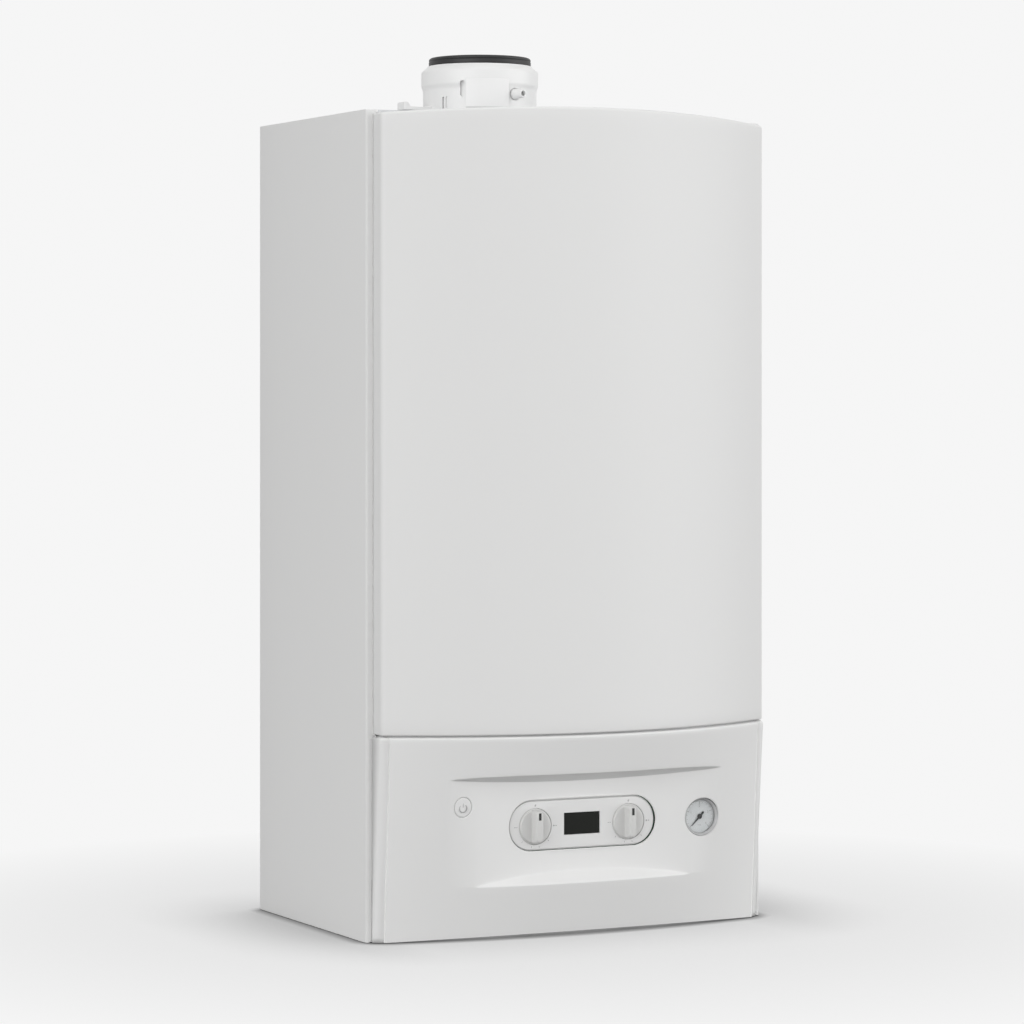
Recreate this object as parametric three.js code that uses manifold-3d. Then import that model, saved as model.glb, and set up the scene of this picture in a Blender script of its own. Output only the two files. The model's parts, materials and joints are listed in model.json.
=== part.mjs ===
// Wall-hung condensing combination boiler: casing, swinging control panel, flue adaptor and inner assembly.
// Millimetres, +Z up, +X to the right, front towards -Y. "Reach" is the distance forward of the wall plane.

import * as THREE from 'three';
import { mergeVertices } from 'three/addons/utils/BufferGeometryUtils.js';
import Module from 'manifold-3d';

const wasm = await Module();
wasm.setup();

// Turns places measured from an edge into places in the boiler's frame
function measuredFrom(edge, places) {
  return Object.fromEntries(Object.entries(places).map(([name, place]) => [name, edge + place]));
}

// Driving dimensions of the whole boiler
const casing = {
  width: 403,
  height: 740,
  sideDepth: 246,
  sheet: 1.2,
  foldRadius: 2.4,
  frontFlange: 12,
  narrowFlange: 4,
  rearFlange: 15,
  floorFlange: 14,
  foldGap: 1.3,
};
const cover = {
  inset: 8,
  lip: 18,
  bow: 57,
  cornerDrop: 3.4,
  arch: 6.5,
  low: 186.2,
  sheet: 1.5,
  cornerRadius: 5,
  hem: 10,
};
const panel = {
  low: 1.5,
  high: 183.2,
  wall: 2.5,
  sideInset: 5.5,
  faceInset: 12,
  cornerLean: 11.5,
  middleLean: 45,
  topRound: 3,
  ...measuredFrom(casing.sideDepth, { rear: 1, sideFront: 13 }),
};
const seat = 0.3;
const overrun = 4;
const sides = { large: 30, middle: 20, small: 12, tiny: 8 };
const curve = { fine: 5, coarse: 2, pipe: 4 };
const flueAxis = 62.8;
const stubEdge = 71.5;
const stubReach = 100;

const depth = casing.sideDepth + cover.lip + cover.bow;
const halfWidth = casing.width / 2;
const innerHalf = halfWidth - casing.sheet;
const stubPitch = (halfWidth - stubEdge) / 2;

const boiler = new THREE.Group();

// Shared shape tools

function fromWall(reach) {
  return depth / 2 - reach;
}

function signedVolume(position, index) {
  const a = new THREE.Vector3();
  const b = new THREE.Vector3();
  const c = new THREE.Vector3();
  let sum = 0;
  for (let i = 0; i < index.length; i += 3) {
    a.fromBufferAttribute(position, index[i]);
    b.fromBufferAttribute(position, index[i + 1]);
    c.fromBufferAttribute(position, index[i + 2]);
    sum += a.dot(b.cross(c));
  }
  return sum;
}

// Merges shared vertices, drops collapsed triangles and turns the faces outwards
function toSolid(geometry) {
  geometry.deleteAttribute('normal');
  geometry.deleteAttribute('uv');
  const merged = mergeVertices(geometry);
  const position = merged.getAttribute('position');
  const index = [];
  for (let i = 0; i < merged.index.count; i += 3) {
    const corners = [0, 1, 2].map((step) => merged.index.getX(i + step));
    if (new Set(corners).size === corners.length) {
      index.push(...corners);
    }
  }
  if (signedVolume(position, index) < 0) {
    index.reverse();
  }
  const triVerts = new Uint32Array(index);
  const vertProperties = new Float32Array(position.array);
  return new wasm.Manifold(new wasm.Mesh({ numProp: 3, vertProperties, triVerts }));
}

function toGeometry(solid) {
  const mesh = solid.getMesh();
  const geometry = new THREE.BufferGeometry();
  geometry.setAttribute('position', new THREE.BufferAttribute(mesh.vertProperties, mesh.numProp));
  geometry.setIndex(new THREE.BufferAttribute(mesh.triVerts, 1));
  geometry.computeVertexNormals();
  return geometry;
}

function fuse(first, ...others) {
  return others.reduce((whole, next) => whole.add(next), first);
}

function cut(first, ...tools) {
  return tools.reduce((whole, next) => whole.subtract(next), first);
}

function place(name, solid, material) {
  const mesh = new THREE.Mesh(toGeometry(solid), material);
  mesh.name = name;
  boiler.add(mesh);
}

function finish(color, roughness, metalness) {
  return new THREE.MeshStandardMaterial({ color, roughness, metalness });
}

function block(left, right, rear, front, low, high) {
  const geometry = new THREE.BoxGeometry(right - left, front - rear, high - low);
  geometry.translate((left + right) / 2, fromWall((rear + front) / 2), (low + high) / 2);
  return toSolid(geometry);
}

// Revolved bodies; each profile is a list of [radius, distance along the axis]
function revolve(profile, count) {
  const points = profile.map(([radius, along]) => new THREE.Vector2(radius, along));
  const onAxis = profile[0][0] === 0 && profile[profile.length - 1][0] === 0;
  if (!onAxis) {
    points.push(points[0].clone());
  }
  return new THREE.LatheGeometry(points, count);
}

function turnedZ(profile, x, reach, count) {
  const geometry = revolve(profile, count);
  geometry.rotateX(Math.PI / 2);
  geometry.translate(x, fromWall(reach), 0);
  return toSolid(geometry);
}

function turnedY(profile, x, z, count) {
  const geometry = revolve(profile.map(([radius, reach]) => [radius, fromWall(reach)]), count);
  geometry.translate(x, 0, z);
  return toSolid(geometry);
}

function turnedX(profile, reach, z, count) {
  const geometry = revolve(profile, count);
  geometry.rotateZ(-Math.PI / 2);
  geometry.translate(0, fromWall(reach), z);
  return toSolid(geometry);
}

function rodZ(radius, low, high, x, reach, count) {
  return turnedZ([[0, low], [radius, low], [radius, high], [0, high]], x, reach, count);
}

function rodY(radius, rear, front, x, z, count) {
  return turnedY([[0, rear], [radius, rear], [radius, front], [0, front]], x, z, count);
}

function rodX(radius, left, right, reach, z, count) {
  return turnedX([[0, left], [radius, left], [radius, right], [0, right]], reach, z, count);
}

// Extruded bodies: plan outlines rise along Z, front outlines run along Y, side outlines run along X
function outline(points) {
  return new THREE.Shape(points.map(([a, b]) => new THREE.Vector2(a, b)));
}

function extrude(shape, length, curveSegments) {
  return new THREE.ExtrudeGeometry(shape, { depth: length, bevelEnabled: false, curveSegments });
}

function extrudeZ(shape, low, high, curveSegments = 6) {
  const geometry = extrude(shape, high - low, curveSegments);
  geometry.translate(0, 0, low);
  return toSolid(geometry);
}

function extrudeY(shape, rear, front, curveSegments = 6) {
  const geometry = extrude(shape, front - rear, curveSegments);
  geometry.rotateX(Math.PI / 2);
  geometry.translate(0, fromWall(rear), 0);
  return toSolid(geometry);
}

function extrudeX(shape, left, right, curveSegments = 6) {
  const turn = new THREE.Matrix4().makeBasis(
    new THREE.Vector3(0, 1, 0),
    new THREE.Vector3(0, 0, 1),
    new THREE.Vector3(1, 0, 0),
  );
  const geometry = extrude(shape, right - left, curveSegments);
  geometry.applyMatrix4(turn);
  geometry.translate(left, 0, 0);
  return toSolid(geometry);
}

function roundedRectangle(left, right, low, high, radius) {
  const shape = new THREE.Shape();
  shape.absarc(right - radius, low + radius, radius, -Math.PI / 2, 0);
  shape.absarc(right - radius, high - radius, radius, 0, Math.PI / 2);
  shape.absarc(left + radius, high - radius, radius, Math.PI / 2, Math.PI);
  shape.absarc(left + radius, low + radius, radius, Math.PI, Math.PI * 1.5);
  shape.closePath();
  return shape;
}

function stadium(x, z, halfLength, radius) {
  return roundedRectangle(x - halfLength, x + halfLength, z - radius, z + radius, radius * 0.999);
}

// Offsets an open line of plan points to its left by a distance, keeping mitred corners
function offsetLine(points, distance) {
  const normals = [];
  for (let i = 0; i + 1 < points.length; i += 1) {
    const along = new THREE.Vector2(points[i + 1][0] - points[i][0], points[i + 1][1] - points[i][1]);
    along.normalize();
    normals.push([-along.y, along.x]);
  }
  return points.map(([a, b], i) => {
    const before = normals[Math.max(i - 1, 0)];
    const after = normals[Math.min(i, normals.length - 1)];
    const spread = 1 + before[0] * after[0] + before[1] * after[1];
    const da = (before[0] + after[0]) / spread;
    const db = (before[1] + after[1]) / spread;
    return [a + da * distance, b + db * distance];
  });
}

// Rounds the inner corners of an open line with short arcs
function roundLine(points, radius, steps = 3) {
  const rounded = [points[0]];
  for (let i = 1; i + 1 < points.length; i += 1) {
    const corner = new THREE.Vector2(...points[i]);
    const before = new THREE.Vector2(...points[i - 1]).sub(corner).normalize();
    const after = new THREE.Vector2(...points[i + 1]).sub(corner).normalize();
    const start = corner.clone().addScaledVector(before, radius);
    const end = corner.clone().addScaledVector(after, radius);
    const bend = new THREE.QuadraticBezierCurve(start, corner, end);
    for (const point of bend.getPoints(steps)) {
      rounded.push([point.x, point.y]);
    }
  }
  rounded.push(points[points.length - 1]);
  return rounded;
}

// Sheet folded along a line: the line is its outer side, the sheet lies to the line's left
function foldedSheet(line, thickness) {
  const inner = offsetLine(line, thickness);
  return outline([...line, ...inner.reverse()]);
}

// A curved wall from a box whose vertices go where position(column, row, inside) puts them
function curvedWall(columns, rows, position) {
  const geometry = new THREE.BoxGeometry(1, 1, 1, columns, 1, rows);
  const vertices = geometry.getAttribute('position');
  for (let i = 0; i < vertices.count; i += 1) {
    const column = Math.round((vertices.getX(i) + 0.5) * columns);
    const row = Math.round((vertices.getZ(i) + 0.5) * rows);
    const [x, reach, z] = position(column, row, vertices.getY(i) > 0);
    vertices.setXYZ(i, x, fromWall(reach), z);
  }
  return toSolid(geometry);
}

// Pipe through [x, reach, z] corners with swept bends
function pipe(corners, radius, bend, steps) {
  const points = corners.map(([x, reach, z]) => new THREE.Vector3(x, fromWall(reach), z));
  const path = new THREE.CurvePath();
  let from = points[0];
  for (let i = 1; i + 1 < points.length; i += 1) {
    const back = points[i - 1].clone().sub(points[i]).normalize();
    const ahead = points[i + 1].clone().sub(points[i]).normalize();
    const start = points[i].clone().addScaledVector(back, bend);
    const end = points[i].clone().addScaledVector(ahead, bend);
    path.add(new THREE.LineCurve3(from, start));
    path.add(new THREE.QuadraticBezierCurve3(start, points[i], end));
    from = end;
  }
  path.add(new THREE.LineCurve3(from, points[points.length - 1]));
  const section = new THREE.Shape();
  section.absarc(0, 0, radius, 0, Math.PI * 2);
  const settings = { steps, bevelEnabled: false, extrudePath: path, curveSegments: curve.pipe };
  return toSolid(new THREE.ExtrudeGeometry(section, settings));
}

// Casing

function sidePanel(side) {
  const line = [
    [side * (halfWidth - casing.rearFlange), fromWall(0)],
    [side * halfWidth, fromWall(0)],
    [side * halfWidth, fromWall(casing.sideDepth)],
    [side * (halfWidth - casing.frontFlange), fromWall(casing.sideDepth)],
  ];
  const fold = foldedSheet(roundLine(line, casing.foldRadius, 2), -side * casing.sheet);
  const wall = extrudeZ(fold, 0, casing.height);
  const edges = [side * (halfWidth - casing.floorFlange), side * (halfWidth - casing.sheet / 2)];
  const foot = block(
    Math.min(...edges), Math.max(...edges),
    casing.sheet / 2, casing.sideDepth - casing.sheet / 2, 0, casing.sheet,
  );
  const slot = [side * (halfWidth - casing.frontFlange - overrun), side * (halfWidth - casing.narrowFlange)];
  const relief = block(
    Math.min(...slot), Math.max(...slot),
    casing.sideDepth - casing.sheet * 2, casing.sideDepth + overrun, -overrun, cover.low - cover.hem / 2,
  );
  return cut(fuse(wall, foot), relief);
}

const backPlate = {
  sheet: 1.5,
  top: 2,
  keyholeX: 120,
  keyholeWidth: 12,
  keyholeHeight: 30,
  ribX: 30,
  ribWidth: 16,
  ribDepth: 1,
  ribLow: 60,
  ...measuredFrom(casing.height, { keyholeZ: -80 }),
};
const backFront = casing.sheet + seat + backPlate.sheet;

function makeBackPlate() {
  const rear = casing.sheet + seat;
  const half = innerHalf - casing.foldGap;
  let plate = block(-half, half, rear, backFront, casing.sheet + seat, casing.height - backPlate.top);
  for (const side of [-1, 1]) {
    const rib = side * backPlate.ribX;
    plate = plate.add(block(
      rib - backPlate.ribWidth / 2, rib + backPlate.ribWidth / 2,
      rear, backFront + backPlate.ribDepth, backPlate.ribLow, casing.height - backPlate.ribLow,
    ));
    const hole = roundedRectangle(
      side * backPlate.keyholeX - backPlate.keyholeWidth / 2,
      side * backPlate.keyholeX + backPlate.keyholeWidth / 2,
      backPlate.keyholeZ, backPlate.keyholeZ + backPlate.keyholeHeight, backPlate.keyholeWidth * 0.49,
    );
    plate = plate.subtract(extrudeY(hole, -overrun, overrun * 2, curve.coarse));
  }
  return plate;
}

const topPlate = {
  sheet: 1.5,
  skirt: 22,
  flueHole: 50,
};

function makeTopPlate() {
  const half = innerHalf - casing.foldGap;
  const rear = backFront + seat;
  const line = [
    [fromWall(rear), casing.height - topPlate.skirt],
    [fromWall(rear), casing.height],
    [fromWall(casing.sideDepth - casing.sheet - seat), casing.height],
    [fromWall(casing.sideDepth - casing.sheet - seat), casing.height - topPlate.skirt],
  ];
  const sheet = extrudeX(foldedSheet(line, topPlate.sheet), -half, half);
  const hole = rodZ(
    topPlate.flueHole, casing.height - topPlate.skirt, casing.height + overrun, 0, flueAxis, sides.large,
  );
  return cut(sheet, hole);
}

// Hinge of the control panel: arms on the bottom plate, ears on the panel, one pin on each side
const hinge = {
  height: 27,
  x: 60,
  armThickness: 4,
  armRadius: 6,
  gap: 1.5,
  earThickness: 4,
  earLow: 14,
  earHigh: 42,
  pinRadius: 3,
  ...measuredFrom(casing.sideDepth, { armRear: -56, earRear: 16, reach: 23 }),
};
const stubX = [-2, -1, 0, 1, 2].map((step) => step * stubPitch);
const floorPlate = {
  low: 32,
  sheet: 1.5,
  flange: 14,
  drop: 12,
  ...measuredFrom(casing.sideDepth, { front: -14 }),
};
const stub = {
  neck: 10,
  bore: 8,
  nut: 16,
  thread: 13.2,
  collar: 13,
  end: 4,
  nutLow: 20,
  high: 45.7,
};
const drain = {
  x: -30,
  reach: 75,
  radius: 8,
  low: 6,
};

function hingeArm(side) {
  const x = side * hinge.x;
  const half = hinge.armThickness / 2;
  const tip = rodX(hinge.armRadius, x - half, x + half, hinge.reach, hinge.height, sides.small);
  const bar = block(
    x - half, x + half, hinge.armRear, hinge.reach,
    hinge.height - hinge.armRadius, hinge.height + hinge.armRadius,
  );
  const root = block(
    x - half, x + half, hinge.armRear, floorPlate.front - floorPlate.sheet,
    hinge.height - hinge.armRadius, floorPlate.low + floorPlate.sheet,
  );
  const hole = rodX(hinge.pinRadius + seat, x - hinge.armThickness, x + hinge.armThickness,
    hinge.reach, hinge.height, sides.small);
  return cut(fuse(bar, tip, root), hole);
}

// Bottom plate with one rounded slot that takes the row of connection stubs
function makeBottomPlate() {
  const half = innerHalf - casing.foldGap;
  const rear = backFront + seat;
  const line = [
    [fromWall(rear), floorPlate.low + floorPlate.flange],
    [fromWall(rear), floorPlate.low],
    [fromWall(floorPlate.front), floorPlate.low],
    [fromWall(floorPlate.front), floorPlate.low - floorPlate.drop],
  ];
  const sheet = extrudeX(foldedSheet(line, -floorPlate.sheet), -half, half);
  const slotRadius = stub.neck + seat * 2;
  const stubSlot = extrudeZ(
    stadium(0, fromWall(stubReach), stubX[stubX.length - 1] + slotRadius, slotRadius),
    floorPlate.low - overrun, floorPlate.low + overrun, curve.fine,
  );
  const drainHole = rodZ(
    drain.radius + seat, floorPlate.low - overrun, floorPlate.low + overrun, drain.x, drain.reach, sides.tiny,
  );
  return fuse(cut(sheet, stubSlot, drainHole), hingeArm(-1), hingeArm(1));
}

function makeHingePin(side) {
  const reachOut = hinge.armThickness / 2 + hinge.gap + hinge.earThickness;
  return rodX(hinge.pinRadius, side * hinge.x - reachOut, side * hinge.x + reachOut,
    hinge.reach, hinge.height, sides.small);
}

// Bowed front cover with side returns, arched top wall and a hem along its lower edge

const coverHalf = halfWidth - cover.inset;
const coverCorner = casing.sideDepth + cover.lip;
const coverColumns = 22;

function coverReach(x) {
  return coverCorner + cover.bow * (1 - (x / coverHalf) ** 2);
}

function coverTop(x) {
  const share = Math.min(Math.abs(x) / coverHalf, 1);
  return casing.height - cover.cornerDrop + cover.arch * (1 - share ** 2);
}

function coverLine(columns) {
  const line = [[-coverHalf, casing.sideDepth + seat]];
  const cornerStart = coverCorner - cover.cornerRadius;
  const firstX = coverHalf - cover.cornerRadius;
  line.push([-coverHalf, cornerStart]);
  line.push([-coverHalf + cover.cornerRadius * 0.3, coverCorner - cover.cornerRadius * 0.15]);
  for (let i = 0; i <= columns; i += 1) {
    const x = firstX * ((2 * i) / columns - 1);
    line.push([x, coverReach(x)]);
  }
  line.push([coverHalf - cover.cornerRadius * 0.3, coverCorner - cover.cornerRadius * 0.15]);
  line.push([coverHalf, cornerStart]);
  line.push([coverHalf, casing.sideDepth + seat]);
  return line;
}

function makeFrontCover() {
  const outer = coverLine(coverColumns);
  const inner = offsetLine(outer, -cover.sheet);
  const hem = offsetLine(outer, -cover.hem);
  const columns = outer.length - 1;
  const wall = curvedWall(columns, 1, (column, row, inside) => {
    const [x, reach] = inside ? inner[column] : outer[column];
    return [x, reach, row === 0 ? cover.low : coverTop(outer[column][0])];
  });
  const lip = curvedWall(columns, 1, (column, row, inside) => {
    const [x, reach] = inside ? hem[column] : outer[column];
    return [x, reach, cover.low + row * cover.sheet];
  });
  const middle = offsetLine(outer, -cover.sheet / 2);
  const roof = curvedWall(columns, 1, (column, row, inside) => {
    const [x, reach] = middle[column];
    const z = coverTop(outer[column][0]) - (inside ? cover.sheet : 0);
    return row === 0 ? [x, casing.sideDepth + seat, z] : [x, reach, z];
  });
  return fuse(wall, lip, roof);
}

// Control panel: bowed at the seam, flatter and leaning back at the foot, with a scooped band between
// two crescent ledges that carries the controls

const crescents = {
  upperZ: 145,
  upperTip: 138,
  upperRise: 2.7,
  upperFall: 6.6,
  upperDepth: 38,
  lowerZ: 47.7,
  lowerTip: 110.6,
  lowerRise: 9.3,
  lowerDepth: 15,
  edge: 0.3,
};
const panelHalf = halfWidth - panel.sideInset;
const faceHalf = halfWidth - panel.faceInset;
const faceColumns = 24;

function faceReach(x, z) {
  const down = 1 - z / cover.low;
  const corner = coverCorner - panel.cornerLean * down;
  const bow = cover.bow - (panel.middleLean - panel.cornerLean) * down;
  return corner + bow * (1 - (x / coverHalf) ** 2);
}

function crescentShare(x, tip) {
  return Math.max(0, 1 - (x / tip) ** 2);
}

// Rows of the panel's face from its foot to its top; each gives a height, a scoop depth and an edge rounding
function faceRow(row, x) {
  const upper = crescentShare(x, crescents.upperTip);
  const lower = crescentShare(x, crescents.lowerTip);
  const roof = Math.max(0, 1 - (x / crescents.upperTip) ** 4);
  const bandLow = crescents.lowerZ + crescents.edge + crescents.lowerRise * lower;
  const bandHigh = crescents.upperZ - crescents.edge - crescents.upperFall * upper;
  const lowDepth = crescents.lowerDepth * lower;
  const highDepth = crescents.upperDepth * upper;
  const band = (share) => ({
    z: bandLow + (bandHigh - bandLow) * share,
    depth: lowDepth + (highDepth - lowDepth) * share,
    round: 0,
  });
  const plain = (z, round = 0) => ({ z, depth: 0, round });
  const rows = [
    plain(panel.low),
    plain((panel.low + crescents.lowerZ) / 2),
    plain(crescents.lowerZ - crescents.edge),
    band(0),
    band(0.33),
    band(0.67),
    band(1),
    plain(crescents.upperZ + crescents.edge + crescents.upperRise * roof),
    plain((crescents.upperZ + crescents.upperRise + panel.high) / 2),
    plain(panel.high - panel.topRound),
    plain(panel.high - panel.topRound * 0.3, panel.topRound * 0.3),
    plain(panel.high, panel.topRound),
  ];
  return row === undefined ? rows.length - 1 : rows[row];
}

const faceRows = faceRow(undefined, 0);

function facePoint(row, x) {
  const { z, depth: scoop } = faceRow(row, x);
  return [faceReach(x, z) - scoop, z];
}

function panelLine(row) {
  const { z, round } = faceRow(row, faceHalf);
  const lean = panel.cornerLean * (1 - z / cover.low);
  const line = [[-panelHalf, panel.rear], [-panelHalf, panel.sideFront - lean]];
  const heights = [z, z];
  for (let i = 0; i <= faceColumns; i += 1) {
    const x = faceHalf * ((2 * i) / faceColumns - 1);
    const [reach, height] = facePoint(row, x);
    line.push([x, reach]);
    heights.push(height);
  }
  line.push([panelHalf, panel.sideFront - lean], [panelHalf, panel.rear]);
  heights.push(z, z);
  return { outer: offsetLine(line, -round), inner: offsetLine(line, -round - panel.wall), heights };
}

function panelSkin() {
  const lines = Array.from({ length: faceRows + 1 }, (unused, row) => panelLine(row));
  const columns = lines[0].outer.length - 1;
  return curvedWall(columns, faceRows, (column, row, inside) => {
    const { outer, inner, heights } = lines[row];
    const [x, reach] = inside ? inner[column] : outer[column];
    return [x, reach, heights[column]];
  });
}

// The same face with a flat back, for what is cut flush with the face or reaches back from it
function faceBlock(rear, sunk = 0) {
  return curvedWall(faceColumns, faceRows, (column, row, inside) => {
    const x = faceHalf * ((2 * column) / faceColumns - 1);
    const [reach, z] = facePoint(row, x);
    return [x, inside ? rear : reach - sunk, z];
  });
}

// Reach of the scooped face between the rows above and below a height
function scoopedReach(x, z) {
  let row = 1;
  while (faceRow(row, x).z < z) {
    row += 1;
  }
  const below = faceRow(row - 1, x);
  const above = faceRow(row, x);
  const share = (z - below.z) / (above.z - below.z);
  return faceReach(x, z) - below.depth - (above.depth - below.depth) * share;
}

const box = {
  wall: 2,
  rear: 165,
  low: 38,
  columnLow: 50,
  columnHigh: 150,
  columnRadius: 6,
  postLow: 65,
  postHigh: 135,
  postRadius: 4,
  shoulderShare: 0.47,
  ...measuredFrom(casing.sideDepth, { front: 4 }),
  ...measuredFrom(panelHalf, { half: -24, columnX: -46, postX: -71 }),
};
const board = {
  low: 56,
  high: 142,
  sheet: 1.6,
  ...measuredFrom(casing.sideDepth, { rear: -10 }),
  ...measuredFrom(box.half, { half: -32 }),
};
const boardFront = board.rear + board.sheet;
const controlZ = { bezel: 99.3, knobs: 98.4, button: 119.9, gauge: 99.3 };
const bezel = {
  x: 0,
  z: controlZ.bezel,
  halfLength: 73.8,
  radius: 22.2,
  wall: 2.5,
  groove: 1.1,
  rim: 3,
  screenHalf: 18.4,
  screenLow: 89.3,
  screenHigh: 109.3,
  ...measuredFrom(scoopedReach(0, controlZ.bezel), { rear: -12.7, front: 1.5 }),
};
const knob = {
  x: 47.35,
  z: controlZ.knobs,
  radius: 16,
  gap: 0.5,
  barHalf: 4.6,
  barTip: 3.2,
  barLength: 15.2,
  shaft: 3,
  ...measuredFrom(bezel.front, { rear: -6.5, front: 1.1, barFront: 10 }),
};
const faceShare = { button: -0.649, gauge: 0.64 };
const button = {
  x: faceHalf * faceShare.button,
  z: controlZ.button,
  radius: 8.7,
  gap: 0.5,
  sleeve: 2,
  stem: 3,
  ...measuredFrom(scoopedReach(faceHalf * faceShare.button, controlZ.button), {
    stemRear: -20.2,
    sleeveRear: -16.5,
    rear: -12.5,
  }),
};
const gauge = {
  x: faceHalf * faceShare.gauge,
  z: controlZ.gauge,
  hole: 17.5,
  sleeve: 2,
  wall: 1.2,
  dial: 14.7,
  pivot: 1.2,
  lensRadius: 15.4,
  ...measuredFrom(scoopedReach(faceHalf * faceShare.gauge, controlZ.gauge), {
    rear: -27,
    sleeveRear: -17,
    dialRear: -5.5,
    dialFront: -4.7,
    lensRear: -2.8,
    lensFront: -1.6,
    front: -0.8,
  }),
};

function makeControlFascia() {
  const top = panelLine(faceRows);
  const lid = outline(offsetLine(top.outer, -panel.wall / 2).map(([x, reach]) => [x, fromWall(reach)]));
  const roof = extrudeZ(lid, panel.high - panel.wall, panel.high);
  const rimShape = stadium(bezel.x, bezel.z, bezel.halfLength + bezel.groove + bezel.rim,
    bezel.radius + bezel.groove + bezel.rim);
  const rim = faceBlock(bezel.rear, panel.wall / 2).intersect(
    extrudeY(rimShape, bezel.rear - overrun, depth, curve.coarse),
  );
  const gaugeSleeve = faceBlock(gauge.sleeveRear, panel.wall / 2).intersect(
    rodY(gauge.hole + gauge.sleeve, gauge.sleeveRear - overrun, depth, gauge.x, gauge.z, sides.middle),
  );
  const buttonSleeve = faceBlock(button.sleeveRear, panel.wall / 2).intersect(
    rodY(
      button.radius + button.gap + button.sleeve, button.sleeveRear - overrun, depth,
      button.x, button.z, sides.small,
    ),
  );
  const additions = [roof, rim, gaugeSleeve, buttonSleeve];
  const earBlock = faceBlock(hinge.earRear, panel.wall / 2);
  const earOffset = hinge.armThickness / 2 + hinge.gap + hinge.earThickness / 2;
  const cuts = [];
  for (const side of [-1, 1]) {
    for (const offset of [-earOffset, earOffset]) {
      const x = side * hinge.x + offset;
      additions.push(earBlock.intersect(block(
        x - hinge.earThickness / 2, x + hinge.earThickness / 2,
        hinge.earRear - overrun, depth, hinge.earLow, hinge.earHigh,
      )));
    }
    cuts.push(rodX(
      hinge.pinRadius + seat,
      side * hinge.x - earOffset - hinge.earThickness, side * hinge.x + earOffset + hinge.earThickness,
      hinge.reach, hinge.height, sides.small,
    ));
    for (const z of [box.columnLow, box.columnHigh]) {
      const post = rodY(box.columnRadius, box.front, depth, side * box.columnX, z, sides.tiny);
      additions.push(faceBlock(box.front + seat, panel.wall / 2).intersect(post));
    }
  }
  const bezelHole = stadium(bezel.x, bezel.z, bezel.halfLength + bezel.groove, bezel.radius + bezel.groove);
  cuts.push(extrudeY(bezelHole, bezel.rear - overrun, depth, curve.fine));
  cuts.push(rodY(gauge.hole, gauge.rear, depth, gauge.x, gauge.z, sides.large));
  cuts.push(rodY(button.radius + button.gap, button.stemRear, depth, button.x, button.z, sides.middle));
  return cut(fuse(panelSkin(), ...additions), ...cuts);
}

function makeControlBezel() {
  const body = extrudeY(
    stadium(bezel.x, bezel.z, bezel.halfLength, bezel.radius), bezel.rear, bezel.front, curve.fine,
  );
  const hollow = extrudeY(
    stadium(bezel.x, bezel.z, bezel.halfLength - bezel.wall, bezel.radius - bezel.wall),
    bezel.rear - overrun, bezel.front - bezel.wall, curve.coarse,
  );
  const screen = block(
    -bezel.screenHalf, bezel.screenHalf, bezel.front - bezel.wall - overrun, bezel.front + overrun,
    bezel.screenLow, bezel.screenHigh,
  );
  const wells = [-1, 1].map((side) => rodY(
    knob.radius + knob.gap, bezel.front - bezel.wall - overrun, bezel.front + overrun,
    side * knob.x, knob.z, sides.large,
  ));
  return cut(body, hollow, screen, ...wells);
}

// Knob: round skirt flush with the bezel, raised grip bar tapering to its crest, shaft at the back
function makeKnob(side) {
  const x = side * knob.x;
  const skirt = turnedY([
    [0, knob.rear],
    [knob.radius, knob.rear],
    [knob.radius, knob.front - knob.gap],
    [knob.radius - knob.gap, knob.front],
    [0, knob.front],
  ], x, knob.z, sides.large);
  const crest = knob.barFront - knob.front;
  const profile = outline([
    [x - knob.barHalf, fromWall(knob.front - knob.gap)],
    [x + knob.barHalf, fromWall(knob.front - knob.gap)],
    [x + knob.barTip, fromWall(knob.barFront - crest * 0.12)],
    [x + knob.barTip * 0.7, fromWall(knob.barFront)],
    [x - knob.barTip * 0.7, fromWall(knob.barFront)],
    [x - knob.barTip, fromWall(knob.barFront - crest * 0.12)],
  ]);
  const bar = extrudeZ(profile, knob.z - knob.barLength, knob.z + knob.barLength);
  const ends = turnedY([
    [0, knob.rear],
    [knob.barLength, knob.rear],
    [knob.barLength, knob.front],
    [knob.barLength - crest * 0.3, knob.barFront],
    [0, knob.barFront],
  ], x, knob.z, sides.large);
  const shaft = rodY(knob.shaft, box.front + seat, knob.rear + knob.gap, x, knob.z, sides.tiny);
  return fuse(skirt, bar.intersect(ends), shaft);
}

const windowPane = { gap: 0.3, ...measuredFrom(bezel.front, { rear: -4.2, front: -1.3 }) };

function makeDisplayWindow() {
  return block(
    -bezel.screenHalf + windowPane.gap, bezel.screenHalf - windowPane.gap, windowPane.rear, windowPane.front,
    bezel.screenLow + windowPane.gap, bezel.screenHigh - windowPane.gap,
  );
}

const displayModule = { half: 21, margin: 2.5, notch: 2 };

function makeDisplayModule() {
  const front = windowPane.rear - seat;
  const body = block(
    -displayModule.half, displayModule.half, boardFront + seat, front,
    bezel.screenLow - displayModule.margin, bezel.screenHigh + displayModule.margin,
  );
  const cable = block(
    -displayModule.half * 0.6, displayModule.half * 0.6, boardFront + seat, boardFront + displayModule.notch,
    bezel.screenLow - displayModule.margin - displayModule.notch, bezel.screenLow,
  );
  return fuse(body, cable);
}

const potentiometer = { radius: 9, terminal: 5, terminalHigh: 5 };

function makePotentiometer(side) {
  const x = side * knob.x;
  const body = rodY(potentiometer.radius, boardFront + seat, box.front, x, knob.z, sides.small);
  const legs = block(
    x - potentiometer.terminal, x + potentiometer.terminal,
    boardFront + seat, boardFront + potentiometer.terminal,
    knob.z - potentiometer.radius - potentiometer.terminalHigh, knob.z,
  );
  return fuse(body, legs);
}

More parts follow.
